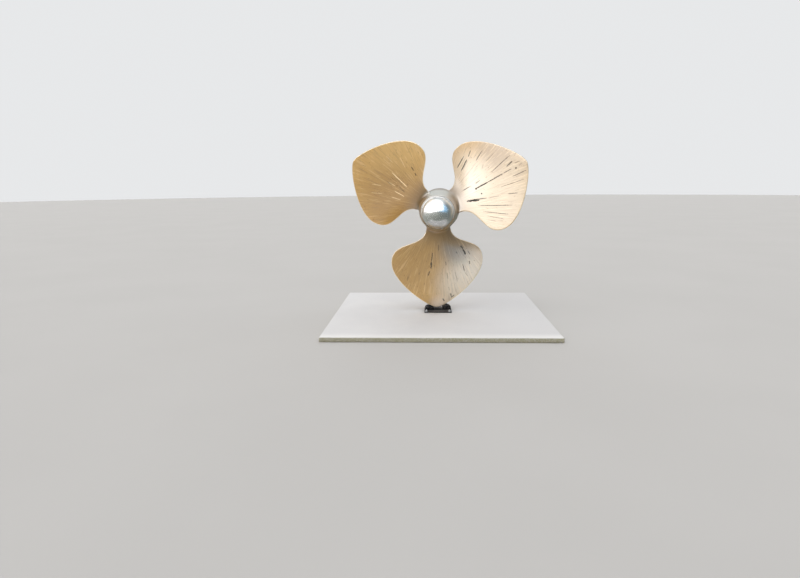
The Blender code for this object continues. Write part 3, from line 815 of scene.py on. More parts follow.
def make_jaw_bolts(line, material):
    """Hexagon bolts through the jaws, with their nuts behind."""
    face = JAW_SLOT / 2 + JAW_THICKNESS
    head = JAW_BOLT_DIAMETER * HEX_HEAD_HEIGHT
    length = 2 * face + JAW_BOLT_DIAMETER * HEX_NUT_HEIGHT + JAW_BOLT_STICK_OUT
    nut = make_nut("jaw_nut_pattern", JAW_BOLT_DIAMETER)
    bolt = hexagon("jaw_bolt_pattern", JAW_BOLT_DIAMETER, head)
    profile = thread_profile(JAW_BOLT_DIAMETER, -length, head / 2)
    join_or_cut(bolt, turned("jaw_bolt_shank", profile, THREAD_STEPS), "UNION")
    rows = (("bolt", bolt, -1, JAW_BOLT_TURN), ("nut", nut, 1, JAW_NUT_TURN))
    for side in ("left", "right"):
        for number in (1, 2):
            place = line.inverted() @ middle_of(f"{side}_jaw_bolt_{number}")
            for word, pattern, way, degrees in rows:
                seat = Matrix.Translation((place.x, way * (face + GAP), place.z))
                seat = seat @ Matrix.Rotation(-way * math.pi / 2, 4, "X")
                turn = Matrix.Rotation(math.radians(degrees * number), 4, "Z")
                piece = copy_of(pattern, f"hexagon_{side}_{word}_{number}", line @ seat @ turn)
                finish(piece, material, f"{side}_jaw_{word}_{number}")
    bpy.data.objects.remove(nut)
    bpy.data.objects.remove(bolt)


# Concrete pad


def make_pad(material):
    """A slab cast in a form, with a rounded edge that wanders a little."""
    low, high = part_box("concrete_pad")
    side, thickness = high.x - low.x, high.z - low.z
    settings = {"x_subdivisions": PAD_CELLS, "y_subdivisions": PAD_CELLS, "size": side}
    pad = primitive("cast_concrete_pad", bpy.ops.mesh.primitive_grid_add, **settings)
    with editing(pad):
        bpy.ops.mesh.extrude_region_move(TRANSFORM_OT_translate={"value": (0, 0, thickness)})
        bpy.ops.mesh.select_all(action="SELECT")
        bpy.ops.mesh.normals_make_consistent(inside=False)
    round_edges(pad, PAD_EDGE_ROUND, 5)
    soften_slab(pad, side, thickness)
    for number in ANCHORS:
        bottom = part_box(f"anchor_stud_{number}")[0].z - GAP
        drill(pad, ANCHOR_DIAMETER / 2 + GAP, bottom, high.z + CUT_PAST, over_stud(number))
    return finish(pad, material, "concrete_pad", smooth_up_to=50)


def soften_slab(pad, side, thickness):
    """Lets the slab's edge wander inward by up to 2.4 mm, and its top dip by less than one."""
    places = read_places(pad.data)
    x, y, z = places.T
    inner = side / 2 - PAD_EDGE_BAND
    from_edge = side / 2 - np.maximum(np.abs(x), np.abs(y))
    near = np.clip(1 - from_edge / PAD_EDGE_BAND, 0, 1)
    wander = np.sin(9 * x + 2 * np.sin(5 * y)) + 0.6 * np.sin(23 * x - 17 * y)
    wander += 0.4 * np.sin(61 * y + 53 * x)
    inward = near * (PAD_EDGE_INWARD + PAD_EDGE_WANDER * wander)
    places[:, 0] -= np.sign(x) * inward * (np.abs(x) > inner)
    places[:, 1] -= np.sign(y) * inward * (np.abs(y) > inner)
    dip = PAD_DIP * (1 + np.sin(4 * x + 1.3) * np.sin(5 * y - 0.7))
    places[:, 2] -= np.where(z > thickness / 2, dip, 0)
    pad.data.vertices.foreach_set("co", places.ravel())
    pad.data.update()


# Materials

UP = (0, 0, 1)
FORWARD = (0, -1, 0)
TO_THE_RIGHT = (1, 0, 0)
FLAT = (1, 0, 1)  # times this, a place in the propeller's own axes loses what lies along the shaft


class Nodes:
    """Adds nodes to one tree. An input that is a socket is linked, and any other value is set."""

    def __init__(self, tree):
        self.tree = tree

    def put(self, socket, value):
        if isinstance(value, bpy.types.NodeSocket):
            self.tree.links.new(value, socket)
        else:
            socket.default_value = value

    def put_named(self, node, **values):
        """Gives a node's inputs by their names. The node's outputs come back."""
        for key, value in values.items():
            self.put(node.inputs[key.replace("_", " ")], value)
        return node.outputs

    def add(self, kind, *values, **settings):
        node = self.tree.nodes.new(kind)
        for key, value in settings.items():
            setattr(node, key, value)
        for socket, value in zip(node.inputs, values):
            self.put(socket, value)
        return node

    def math(self, operation, *values):
        return self.add("ShaderNodeMath", *values, operation=operation).outputs[0]

    def plus(self, first, second):
        return self.math("ADD", first, second)

    def minus(self, first, second):
        return self.math("SUBTRACT", first, second)

    def times(self, first, second):
        return self.math("MULTIPLY", first, second)

    def vector(self, operation, *values):
        node = self.add("ShaderNodeVectorMath", *values, operation=operation)
        number = 1 if operation in ("LENGTH", "DOT_PRODUCT", "DISTANCE") else 0
        return node.outputs[number]

    def along(self, place, axis):
        """How far a place lies along an axis, or how well a direction agrees with it."""
        return self.vector("DOT_PRODUCT", place, axis)

    def facing(self, axis):
        """How well the surface faces along an axis."""
        return self.along(self.add("ShaderNodeNewGeometry").outputs["Normal"], axis)

    def noise(self, place, scale, detail, roughness=0.5):
        settings = {"Vector": place, "Scale": scale, "Detail": detail, "Roughness": roughness}
        return self.put_named(self.add("ShaderNodeTexNoise"), **settings)[0]

    def cells(self, place, scale):
        """The distance to the middle of the nearest of many cells."""
        node = self.add("ShaderNodeTexVoronoi", feature="F1")
        return self.put_named(node, Vector=place, Scale=scale)["Distance"]

    def between(self, value, low, high, first=0.0, last=1.0):
        """Eases from first to last as the value goes from low to high."""
        node = self.add("ShaderNodeMapRange", value, low, high, first, last, interpolation_type="SMOOTHSTEP")
        return node.outputs[0]

    def mix(self, share, first, second):
        """From the first colour to the second as the share goes from 0 to 1."""
        node = self.add("ShaderNodeMix", data_type="RGBA")
        self.put(node.inputs[0], share)
        for number, tone in ((6, first), (7, second)):
            self.put(node.inputs[number], (*tone, 1) if isinstance(tone, tuple) else tone)
        return node.outputs[2]

    def tint(self, base, tone, mask, share=None):
        """A colour with a tone laid over it where the mask is, or by this share of the mask."""
        if share is not None:
            mask = self.times(mask, share)
        return self.mix(mask, base, tone)

    def bump(self, height, distance):
        """The normal of a surface that a height raises by up to a distance, at half strength."""
        node = self.add("ShaderNodeBump")
        return self.put_named(node, Strength=0.5, Distance=distance, Height=height)["Normal"]

    def group(self, group, **values):
        """The mask that a node group gives."""
        return self.put_named(self.add("ShaderNodeGroup", node_tree=group), **values)["Mask"]


def new_group(name, inputs):
    """A node group that gives a mask: its tree, its nodes, its inputs, and the socket for the mask."""
    tree = bpy.data.node_groups.new(name, "ShaderNodeTree")
    for socket, value in inputs.items():
        kind = "NodeSocketVector" if isinstance(value, tuple) else "NodeSocketFloat"
        tree.interface.new_socket(name=socket, in_out="INPUT", socket_type=kind).default_value = value
    tree.interface.new_socket(name="Mask", in_out="OUTPUT", socket_type="NodeSocketFloat")
    nodes = Nodes(tree)
    return tree, nodes, nodes.add("NodeGroupInput").outputs, nodes.add("NodeGroupOutput").inputs["Mask"]


def grain_group():
    """Fine lines that run out from the shaft line, on a place in the propeller's own axes."""
    inputs = {"Place": (0, 0, 0), "Lines": 60.0, "Shortness": 3.0, "Detail": 3.0}
    tree, nodes, given, mask = new_group("grain_out_from_shaft", inputs)
    flat = nodes.vector("MULTIPLY", given["Place"], FLAT)
    around = nodes.vector("SCALE", nodes.vector("NORMALIZE", flat))
    nodes.put(around.node.inputs["Scale"], given["Lines"])
    outward = nodes.times(nodes.vector("LENGTH", flat), given["Shortness"])
    outward = nodes.add("ShaderNodeCombineXYZ", 0.0, outward, 0.0).outputs[0]
    nodes.put(mask, nodes.noise(nodes.vector("ADD", around, outward), 1.0, given["Detail"], 0.6))
    return tree


def scratch_group():
    """A scratch on a place in the propeller's own axes.

    Along and Aside count 1 from its middle to its end and to its side.
    """
    inputs = {"Place": (0, 0, 0), "Ragged": 0.0, "Along": (1, 0, 0), "Aside": (0, 0, 1)}
    inputs |= {"Along Middle": 0.0, "Aside Middle": 0.0}
    tree, nodes, given, mask = new_group("scratch", inputs)
    along = nodes.minus(nodes.along(given["Place"], given["Along"]), given["Along Middle"])
    along = nodes.times(along, along)
    aside = nodes.minus(nodes.along(given["Place"], given["Aside"]), given["Aside Middle"])
    outside = nodes.math("MULTIPLY_ADD", aside, aside, given["Ragged"])
    outside = nodes.math("MULTIPLY_ADD", along, along, outside)
    nodes.put(mask, nodes.between(outside, 0.5, 1.2, 1.0, 0.0))
    return tree


def wear_group():
    """Where outer edges are rubbed, broken up by noise."""
    inputs = {"Place": (0, 0, 0), "Scale": 40.0, "Amount": 0.5}
    tree, nodes, given, mask = new_group("rubbed_edges", inputs)
    pointed = nodes.add("ShaderNodeNewGeometry").outputs["Pointiness"]
    broken = nodes.noise(given["Place"], given["Scale"], 4.0, 0.65)
    raised = nodes.plus(pointed, nodes.times(nodes.minus(broken, 0.5), 0.12))
    limit = nodes.minus(0.62, nodes.times(given["Amount"], 0.1))
    nodes.put(mask, nodes.between(raised, limit, nodes.plus(limit, 0.05)))
    return tree


def dust_group():
    """Dust that lies on what faces up."""
    inputs = {"Place": (0, 0, 0), "Scale": 12.0, "Amount": 0.5}
    tree, nodes, given, mask = new_group("settled_dust", inputs)
    patches = nodes.between(nodes.noise(given["Place"], given["Scale"], 5.0, 0.6), 0.3, 0.65)
    lying = nodes.times(nodes.between(nodes.facing(UP), 0.2, 0.95), patches)
    nodes.put(mask, nodes.times(lying, given["Amount"]))
    return tree


GRAIN = grain_group()
SCRATCH = scratch_group()
WEAR = wear_group()
DUST = dust_group()


def new_material(name, **values):
    """A material named for its slot, with values on its shader's own sockets."""
    material = bpy.data.materials.new(name + FINISH)
    material.use_nodes = True
    nodes = Nodes(material.node_tree)
    shader = material.node_tree.nodes["Principled BSDF"]
    nodes.put_named(shader, **values)
    return material, nodes, shader


def own_place(nodes, centre=(0, 0, 0), turn=(0, 0, 0)):
    """Object coordinates, counted from a centre and along turned axes."""
    place = nodes.add("ShaderNodeTexCoord").outputs["Object"]
    return nodes.add("ShaderNodeMapping", place, centre, turn, vector_type="TEXTURE").outputs[0]


def grain(nodes, place, lines, shortness, detail):
    return nodes.group(GRAIN, Place=place, Lines=lines, Shortness=shortness, Detail=detail)


# Marks on the blades' front faces: from (degrees, centimetres) to (degrees, centimetres), width in
# millimetres, and strength. Degrees are counted round the shaft line from the right, and centimetres
# out from it.
DARK_SCRATCHES = (
    # right blade
    ((30.5, 49), (30, 67), 17, 1.0),
    ((30, 64), (30, 86), 13, 0.9),
    ((30, 85), (30, 96), 11, 0.8),
    ((30, 49), (30, 51), 26, 1.0),
    ((39, 36), (37, 47), 12, 0.8),
    ((36, 52), (36, 60), 12, 0.6),
    ((36, 74), (38, 104), 9, 0.8),
    ((33, 92), (34, 101), 16, 0.8),
    ((29, 99), (29, 101), 20, 1.0),
    ((25, 92), (25, 109), 11, 0.8),
    ((21, 75), (20.5, 105), 9, 0.7),
    ((18.5, 34), (15, 50), 27, 1.0),
    ((18, 41), (15, 58), 15, 0.7),
    ((15, 58), (14, 74), 8, 0.6),
    ((21, 53), (22.5, 54), 19, 1.0),
    ((14, 82), (13, 93), 13, 0.7),
    ((8, 45), (5, 85), 10, 0.85),
    ((0, 51), (-2, 82), 9, 0.7),
    ((-5, 56), (-6, 76), 9, 0.6),
    ((-9, 58), (-9, 67), 9, 0.4),
    ((66.5, 53), (65, 69), 12, 0.9),
    ((60, 52), (61, 67), 15, 0.9),
    ((61, 70), (62, 78), 12, 0.8),
    ((53, 71), (54, 86), 10, 0.8),
    ((46, 77), (46, 91), 12, 0.35),
    ((44, 69), (46, 74), 16, 0.3),
    ((32, 101), (31.5, 108), 14, 0.5),
    ((29.5, 104), (30, 109), 12, 0.4),
    # bottom blade
    ((-98, 50), (-97.5, 61), 14, 0.8),
    ((-98, 60), (-97, 69), 21, 0.9),
    ((-98, 71), (-99, 78), 14, 0.8),
    ((-59, 50), (-58, 56), 22, 0.8),
    ((-58.5, 55), (-59, 63), 25, 1.0),
    ((-55, 60), (-55, 66), 13, 0.7),
    ((-66, 71), (-67, 80), 13, 0.8),
    ((-67, 80), (-66, 87), 9, 0.5),
    ((-59, 71), (-60, 75), 16, 0.8),
    ((-81.5, 99), (-81, 105), 19, 0.7),
    ((-81, 104), (-79, 102), 15, 0.7),
    ((-87, 104), (-86, 108), 17, 0.8),
    ((-90, 40), (-90, 48), 15, 0.45),
    ((-67, 54), (-67, 57), 16, 0.6),
    ((-82, 61), (-82, 66), 12, 0.6),
    ((-82, 74), (-82, 83), 10, 0.5),
    ((-82, 92), (-82, 96), 10, 0.4),
    ((-75, 76), (-75, 89), 9, 0.35),
    ((-55, 74), (-55, 75), 16, 0.4),
    ((-115, 83), (-114, 89), 16, 0.4),
    ((-107, 75), (-107, 78), 13, 0.4),
    # left blade
    ((121, 60), (121, 54), 14, 0.8),
    ((121, 52), (122, 48), 13, 0.8),
    ((150, 69), (151, 62), 15, 0.4),
    ((148, 55), (152, 45), 18, 0.35),
)
# Raised scratches, painted pale as highlights along them.
RAISED_SCRATCHES_WITH_PAINTED_HIGHLIGHT = (
    ((140, 71), (143, 45), 12, 1.0),
    ((156, 57), (158, 43), 11, 0.9),
    ((133, 88), (133, 76), 11, 0.3),
    ((158, 84), (156, 73), 11, 0.4),
    ((165, 83), (163, 68), 10, 0.35),
    ((150, 68), (150, 58), 12, 0.4),
    ((164, 59), (165, 46), 11, 0.5),
    ((125, 76), (127, 63), 14, 0.3),
)
PLUG = (0.02, 0.02, 0)  # the middle of a filled hole on the hub's top, with its distance back halved
BATTERED = (145, 56)  # the place on the left blade that is nicked most
# Tone patches, some weathering and some painted light and shade; the pale one at (61, 44) on the right blade
# is a painted highlight.
WEATHER_AND_PAINTED_LIGHT = (  # on the front faces: middle, reach in centimetres, share at the middle, and colour
    ((12, 72), 75, 0.75, (0.40, 0.32, 0.21)),
    ((47, 94), 34, 0.75, (0.24, 0.155, 0.07)),
    ((30, 106), 24, 0.5, (0.32, 0.24, 0.135)),
    ((61, 44), 48, 0.85, (0.95, 0.82, 0.66)),
    ((120, 86), 56, 0.55, (0.68, 0.46, 0.18)),
    ((160, 58), 58, 0.7, (0.34, 0.19, 0.042)),
    ((-120, 70), 60, 0.6, (0.36, 0.21, 0.065)),
    ((-50, 72), 46, 0.7, (0.19, 0.175, 0.14)),
    ((-72, 94), 44, 0.7, (0.62, 0.565, 0.475)),
    ((-64, 48), 30, 0.6, (0.13, 0.115, 0.09)),
    ((-89, 114), 18, 0.7, (0.86, 0.68, 0.52)),
)


def on_face(place):
    """A place in the propeller's own axes from (degrees, centimetres)."""
    angle = math.radians(place[0])
    return Vector((math.cos(angle), 0, math.sin(angle))) * (place[1] / 100)


def scratches(nodes, place, ragged, rows):
    """All the scratches of a list as one mask."""
    mask = None
    for start, end, width, strength in rows:
        start, end = on_face(start), on_face(end)
        middle, run = (start + end) / 2, (end - start) / 2
        along = run / run.length_squared
        aside = Vector((-run.z, 0, run.x)).normalized() / (width / 2000)
        values = {"Place": place, "Ragged": ragged, "Along": along, "Aside": aside}
        values |= {"Along Middle": middle.dot(along), "Aside Middle": middle.dot(aside)}
        one = nodes.times(nodes.group(SCRATCH, **values), strength)
        mask = nodes.math("MAXIMUM", mask, one) if mask else one
    return mask


def weather_and_painted_light(nodes, flat, in_front, tan):
    """Tones on the front faces, some left by the weather and some painted light and shade."""
    for spot, reach, share, tone in WEATHER_AND_PAINTED_LIGHT:
        away = nodes.vector("DISTANCE", flat, tuple(on_face(spot)))
        faded = nodes.between(away, reach / 400, reach / 100, share, 0.0)
        tan = nodes.tint(tan, tone, faded, in_front)
    return tan


def barrel_tones(nodes, place, radius, tan):
    """A hub darkened as painted shade, with a painted sky reflection pale on its top before the blades, and
    the mark of a filled hole there.
    """
    on_barrel = nodes.between(radius, HUB_REAR_RADIUS + 0.002, HUB_REAR_RADIUS + 0.035, 1.0, 0.0)
    # Painted shade over the whole barrel.
    tan = nodes.tint(tan, (0.13, 0.09, 0.055), on_barrel, 0.5)
    upward = nodes.math("DIVIDE", nodes.along(place, UP), radius)
    before_blades = nodes.between(nodes.along(place, FORWARD), -0.06, 0.08)
    painted_sky_reflection_on_top = nodes.times(nodes.times(on_barrel, before_blades), nodes.between(upward, 0.66, 0.95))
    # Painted reflection of the sky, pale grey on the barrel's top.
    tan = nodes.tint(tan, (0.50, 0.51, 0.47), painted_sky_reflection_on_top, 0.9)
    off_plug = nodes.vector("DISTANCE", nodes.vector("MULTIPLY", place, (1, 0.5, 0)), PLUG)
    plug = nodes.between(off_plug, 0.018, 0.026, 0.35, 0.0)
    return nodes.tint(tan, (0.18, 0.18, 0.17), plug, painted_sky_reflection_on_top)


def bronze_paint():
    """Tan bronze finish with fine lines out from the hub, scratches, and rubbed edges, with painted
    highlights on the edges and raised scratches, and painted light and shade over the hub and blades.
    """
    values = {"Specular_IOR_Level": 0.25, "Coat_Roughness": 0.30, "Coat_IOR": 2.05}
    material, nodes, shader = new_material("bronze_paint", **values)
    place = own_place(nodes, SHAFT.to_translation(), SHAFT.to_euler())
    flat = nodes.vector("MULTIPLY", place, FLAT)
    radius = nodes.vector("LENGTH", flat)
    lines = grain(nodes, place, 110.0, 7.0, 3.0)
    fine = grain(nodes, place, 300.0, 25.0, 2.0)
    mottle = nodes.noise(place, 28.0, 4.0, 0.6)
    on_blade = nodes.between(radius, 0.24, 0.36)
    in_front = nodes.between(nodes.facing(tuple(SHAFT.to_3x3() @ Vector(FORWARD))), 0.0, 0.2)
    ragged = nodes.between(nodes.noise(place, 70.0, 3.0, 0.7), 0.3, 0.7, -0.35, 0.6)
    dark = nodes.times(scratches(nodes, place, ragged, DARK_SCRATCHES), in_front)
    light = nodes.times(scratches(nodes, place, ragged, RAISED_SCRATCHES_WITH_PAINTED_HIGHLIGHT), in_front)
    away = nodes.vector("DISTANCE", flat, tuple(on_face(BATTERED)))
    battered = nodes.times(nodes.between(away, 0.05, 0.16, 0.10, 0.0), in_front)
    short = nodes.plus(grain(nodes, place, 150.0, 22.0, 1.0), battered)
    nicks = nodes.times(nodes.between(short, 0.68, 0.74), on_blade)
    edge = nodes.add("ShaderNodeAttribute", attribute_name="near_edge").outputs["Fac"]
    rubbed = nodes.between(nodes.plus(edge, nodes.times(mottle, 0.3)), 0.45, 0.95)

    patches = nodes.noise(place, 2.2, 4.0, 0.55)
    tan = nodes.mix(nodes.between(patches, 0.35, 0.65), (0.54, 0.31, 0.075), (0.60, 0.365, 0.105))
    tan = nodes.tint(tan, (0.42, 0.23, 0.055), nodes.between(lines, 0.34, 0.66, 0.62, 0.0))
    tan = nodes.tint(tan, (0.68, 0.48, 0.22), nodes.between(fine, 0.5, 0.72), 0.5)
    tan = weather_and_painted_light(nodes, flat, in_front, tan)
    streaks = grain(nodes, place, 54.0, 4.5, 2.0)
    streaked = nodes.times(on_blade, in_front)
    tan = nodes.tint(tan, (0.26, 0.15, 0.055), nodes.between(streaks, 0.56, 0.68, 0.0, 0.42), streaked)
    tan = nodes.tint(tan, (0.80, 0.60, 0.34), nodes.between(streaks, 0.34, 0.44, 0.32, 0.0), streaked)
    # Painted shade: darker towards the blade roots and the hub, fading out by 48 cm from the shaft line.
    tan = nodes.tint(tan, (0.14, 0.08, 0.024), nodes.between(radius, HUB_FRONT_RADIUS, 0.48, 0.82, 0.0))
    tan = barrel_tones(nodes, place, radius, tan)
    tan = nodes.tint(tan, (0.15, 0.09, 0.05), nicks, 0.7)
    # Painted highlight along the edges, together with the rubbing there.
    tan = nodes.tint(tan, (0.78, 0.64, 0.40), rubbed, 0.8)
    # Painted highlights along the raised scratches.
    tan = nodes.tint(tan, (0.95, 0.78, 0.50), light)
    tan = nodes.tint(tan, (0.055, 0.05, 0.045), dark)

    uneven = nodes.times(nodes.minus(mottle, 0.5), 0.12)
    rough = nodes.plus(nodes.between(lines, 0.3, 0.7, 0.40, 0.50), uneven)
    rough = nodes.plus(rough, nodes.times(dark, 0.25))
    coat = nodes.minus(1.0, nodes.math("MAXIMUM", dark, nodes.times(nicks, 0.7)))
    height = nodes.plus(nodes.times(lines, on_blade), nodes.times(fine, 0.25))
    height = nodes.plus(height, nodes.times(nodes.plus(dark, nicks), -1.2))
    height = nodes.plus(nodes.plus(height, light), nodes.times(mottle, 0.25))
    normal = nodes.bump(height, 0.0008)
    nodes.put_named(shader, Base_Color=tan, Roughness=rough, Coat_Weight=coat, Normal=normal)
    return material


def polished_cap():
    """Bright turned metal with faint rings, smudges and water marks, on a duller flange painted dark brown
    towards its bottom as painted shade.
    """
    material, nodes, shader = new_material("polished_cap")
    place = own_place(nodes, SHAFT.to_translation(), SHAFT.to_euler())
    radius = nodes.vector("LENGTH", nodes.vector("MULTIPLY", place, FLAT))
    rings = nodes.noise(nodes.add("ShaderNodeCombineXYZ", radius, 0.0, 0.0).outputs[0], 900.0, 2.0, 0.6)
    smudges = nodes.noise(place, 14.0, 5.0, 0.6)
    marks = nodes.times(nodes.between(nodes.noise(place, 220.0, 2.0, 0.6), 0.66, 0.72), 0.4)
    metal = nodes.mix(nodes.between(smudges, 0.4, 0.7), (0.68, 0.69, 0.69), (0.61, 0.62, 0.62))
    metal = nodes.tint(metal, (0.5, 0.5, 0.49), marks)
    on_flange = nodes.between(radius, CAP_DOME_RADIUS + 0.001, CAP_DOME_RADIUS + 0.0035)
    # Painted shade: the flange goes dark brown towards its bottom and grey towards its top.
    upward = nodes.between(nodes.along(place, UP), -0.14, 0.12)
    dull = nodes.mix(upward, (0.20, 0.15, 0.09), (0.50, 0.50, 0.49))
    metal = nodes.mix(on_flange, metal, dull)
    metallic = nodes.minus(1.0, nodes.times(on_flange, 0.75))
    rough = nodes.between(smudges, 0.35, 0.75, 0.17, 0.22)
    rough = nodes.plus(rough, nodes.between(radius, 0.05, CAP_DOME_RADIUS, 0.0, 0.15))
    rough = nodes.plus(rough, nodes.times(on_flange, 0.22))
    rough = nodes.plus(rough, nodes.times(marks, 0.3))
    normal = nodes.bump(rings, 0.00003)
    nodes.put_named(shader, Base_Color=metal, Metallic=metallic, Roughness=rough, Normal=normal)
    return material


def concrete():
    """Light grey concrete with a brushed top and pores, darker round the bracket, moss on its sides, and
    painted shade and light: a shadow behind the blade's tip, darker to the right and paler at the front.
    """
    material, nodes, shader = new_material("concrete")
    place = own_place(nodes)
    broad = nodes.noise(place, 1.6, 5.0, 0.6)
    sand = nodes.noise(place, 330.0, 3.0, 0.7)
    grit = nodes.noise(place, 90.0, 3.0, 0.65)
    brushed = nodes.noise(nodes.vector("MULTIPLY", place, (1.5, 55.0, 1.0)), 4.0, 3.0, 0.6)
    pores = nodes.between(nodes.cells(place, 70.0), 0.06, 0.16, 1.0, 0.0)
    pores = nodes.times(pores, nodes.between(grit, 0.5, 0.62))
    grey = nodes.mix(nodes.between(broad, 0.3, 0.7), (0.54, 0.535, 0.535), (0.58, 0.575, 0.57))
    grey = nodes.tint(grey, (0.43, 0.42, 0.40), nodes.between(sand, 0.45, 0.75), 0.35)
    grey = nodes.tint(grey, (0.74, 0.72, 0.69), nodes.between(grit, 0.55, 0.75), 0.25)
    grey = nodes.tint(grey, (0.47, 0.46, 0.45), nodes.between(brushed, 0.45, 0.75), 0.12)
    grey = nodes.tint(grey, (0.30, 0.27, 0.24), darker_round_bracket(nodes, place), 0.5)
    # Painted shadow on the pad behind the blade's tip.
    grey = nodes.tint(grey, (0.035, 0.032, 0.03), painted_shadow_behind_bracket(nodes, place, grit))
    # Painted shade: the pad darkens towards its right.
    painted_shade_to_right = nodes.between(nodes.along(place, TO_THE_RIGHT), -0.2, 1.1, 0.0, 0.6)
    grey = nodes.tint(grey, (0.46, 0.455, 0.455), painted_shade_to_right)
    # Painted light: the pad pales towards its front edge.
    painted_light_to_front = nodes.between(nodes.along(place, FORWARD), 1.02, 1.20, 0.0, 0.6)
    grey = nodes.tint(grey, (0.72, 0.71, 0.69), painted_light_to_front)
    on_sides = nodes.between(nodes.facing(UP), 0.2, 0.8, 0.9, 0.0)
    grey = nodes.tint(grey, (0.40, 0.39, 0.25), on_sides, nodes.between(grit, 0.35, 0.6, 0.35, 1.0))
    grey = nodes.tint(grey, (0.22, 0.21, 0.20), pores, 0.7)
    rough = nodes.between(broad, 0.3, 0.7, 0.82, 0.93)
    height = nodes.plus(nodes.times(sand, 0.4), nodes.times(brushed, 0.8))
    height = nodes.minus(height, nodes.times(pores, 1.5))
    nodes.put_named(shader, Base_Color=grey, Roughness=rough, Normal=nodes.bump(height, 0.0012))
    return material


def darker_round_bracket(nodes, place):
    """Darker round the bracket, fading within a few hands' widths."""
    away = nodes.vector("DISTANCE", place, tuple(middle_of("bracket_base_plate")))
    ragged = nodes.times(nodes.noise(place, 9.0, 4.0, 0.6), 0.25)
    return nodes.between(nodes.plus(away, ragged), 0.22, 0.42, 1.0, 0.0)


def painted_shadow_behind_bracket(nodes, place, grit):
    """A painted shadow: a dark patch on the pad behind the blade's tip, longer than it is wide."""
    away = nodes.vector("SUBTRACT", place, (TIP_X + 0.004, TIP_Y + 0.18, PAD_TOP))
    away = nodes.vector("LENGTH", nodes.vector("MULTIPLY", away, (13.0, 7.5, 0)))
    return nodes.between(nodes.plus(away, nodes.times(grit, 0.4)), 0.8, 1.3, 0.9, 0.0)


def black_steel():
    """Black painted plate, rubbed at its edges, dusty on top, and near black under the blade's tip as
    painted shade.
    """
    material, nodes, shader = new_material("black_steel", Specular_IOR_Level=0.15)
    place = own_place(nodes)
    skin = nodes.noise(place, 160.0, 3.0, 0.6)
    patches = nodes.noise(place, 24.0, 4.0, 0.6)
    worn = nodes.group(WEAR, Place=place, Scale=70.0, Amount=0.4)
    dust = nodes.group(DUST, Place=place, Scale=30.0, Amount=0.4)
    # Painted shade: near black and duller round the plate's top under the blade's tip.
    away = nodes.vector("DISTANCE", place, (TIP_X, TIP_Y + 0.02, PAD_TOP + 0.012))
    painted_shade_under_tip = nodes.between(away, 0.055, 0.085, 1.0, 0.0)
    black = nodes.mix(nodes.between(patches, 0.35, 0.7), (0.007, 0.007, 0.008), (0.018, 0.018, 0.019))
    black = nodes.tint(black, (0.10, 0.085, 0.075), worn)
    black = nodes.tint(black, (0.13, 0.12, 0.11), dust)
    black = nodes.tint(black, (0.003, 0.003, 0.003), painted_shade_under_tip)
    dull = nodes.times(nodes.math("MAXIMUM", dust, painted_shade_under_tip), 0.35)
    rough = nodes.plus(nodes.between(patches, 0.3, 0.7, 0.5, 0.65), dull)
    metallic = nodes.times(worn, 0.5)
    normal = nodes.bump(skin, 0.0004)
    nodes.put_named(shader, Base_Color=black, Roughness=rough, Metallic=metallic, Normal=normal)
    return material


def bare_steel():
    """Zinc coated steel with dull patches, dust and specks of rust."""
    material, nodes, shader = new_material("bare_steel")
    place = own_place(nodes)
    spangle = nodes.between(nodes.cells(place, 260.0), 0.1, 0.8)
    patches = nodes.noise(place, 60.0, 4.0, 0.6)
    dust = nodes.group(DUST, Place=place, Scale=50.0, Amount=0.35)
    rust = nodes.between(nodes.noise(place, 90.0, 5.0, 0.65), 0.56, 0.68)
    zinc = nodes.mix(spangle, (0.50, 0.51, 0.52), (0.38, 0.39, 0.40))
    zinc = nodes.tint(zinc, (0.33, 0.33, 0.33), nodes.between(patches, 0.4, 0.7))
    zinc = nodes.tint(zinc, (0.22, 0.105, 0.05), rust, 0.6)
    zinc = nodes.tint(zinc, (0.42, 0.39, 0.35), dust)
    metallic = nodes.minus(0.95, nodes.times(rust, 0.7))
    rough = nodes.between(patches, 0.3, 0.7, 0.34, 0.55)
    normal = nodes.bump(patches, 0.0003)
    nodes.put_named(shader, Base_Color=zinc, Metallic=metallic, Roughness=rough, Normal=normal)
    return material


# Studio


def make_floor():
    """A plain pale floor, darker where the glossy finishes mirror it. It is not part of the object."""
    settings = {"vertices": 96, "radius": FLOOR_RADIUS, "fill_type": "NGON"}
    floor = primitive("floor", bpy.ops.mesh.primitive_circle_add, **settings)
    floor.data.transform(Matrix.Translation((0, 0, -FLOOR_DROP)))
    material, nodes, shader = new_material("floor_paint", Roughness=0.85)
    place = own_place(nodes)
    tone = nodes.noise(place, 0.6, 3.0, 0.5)
    pale = nodes.mix(nodes.between(tone, 0.3, 0.7), (0.41, 0.40, 0.385), (0.42, 0.41, 0.395))
    across = nodes.between(nodes.along(place, TO_THE_RIGHT), -3.0, 3.0)
    mirrored = nodes.mix(across, (0.27, 0.28, 0.25), (0.12, 0.135, 0.12))
    rays = nodes.add("ShaderNodeLightPath").outputs
    unseen = nodes.mix(rays["Is Glossy Ray"], (0.42, 0.38, 0.32), mirrored)
    nodes.put_named(shader, Base_Color=nodes.mix(rays["Is Camera Ray"], unseen, pale))
    floor.data.materials.append(material)
    return floor


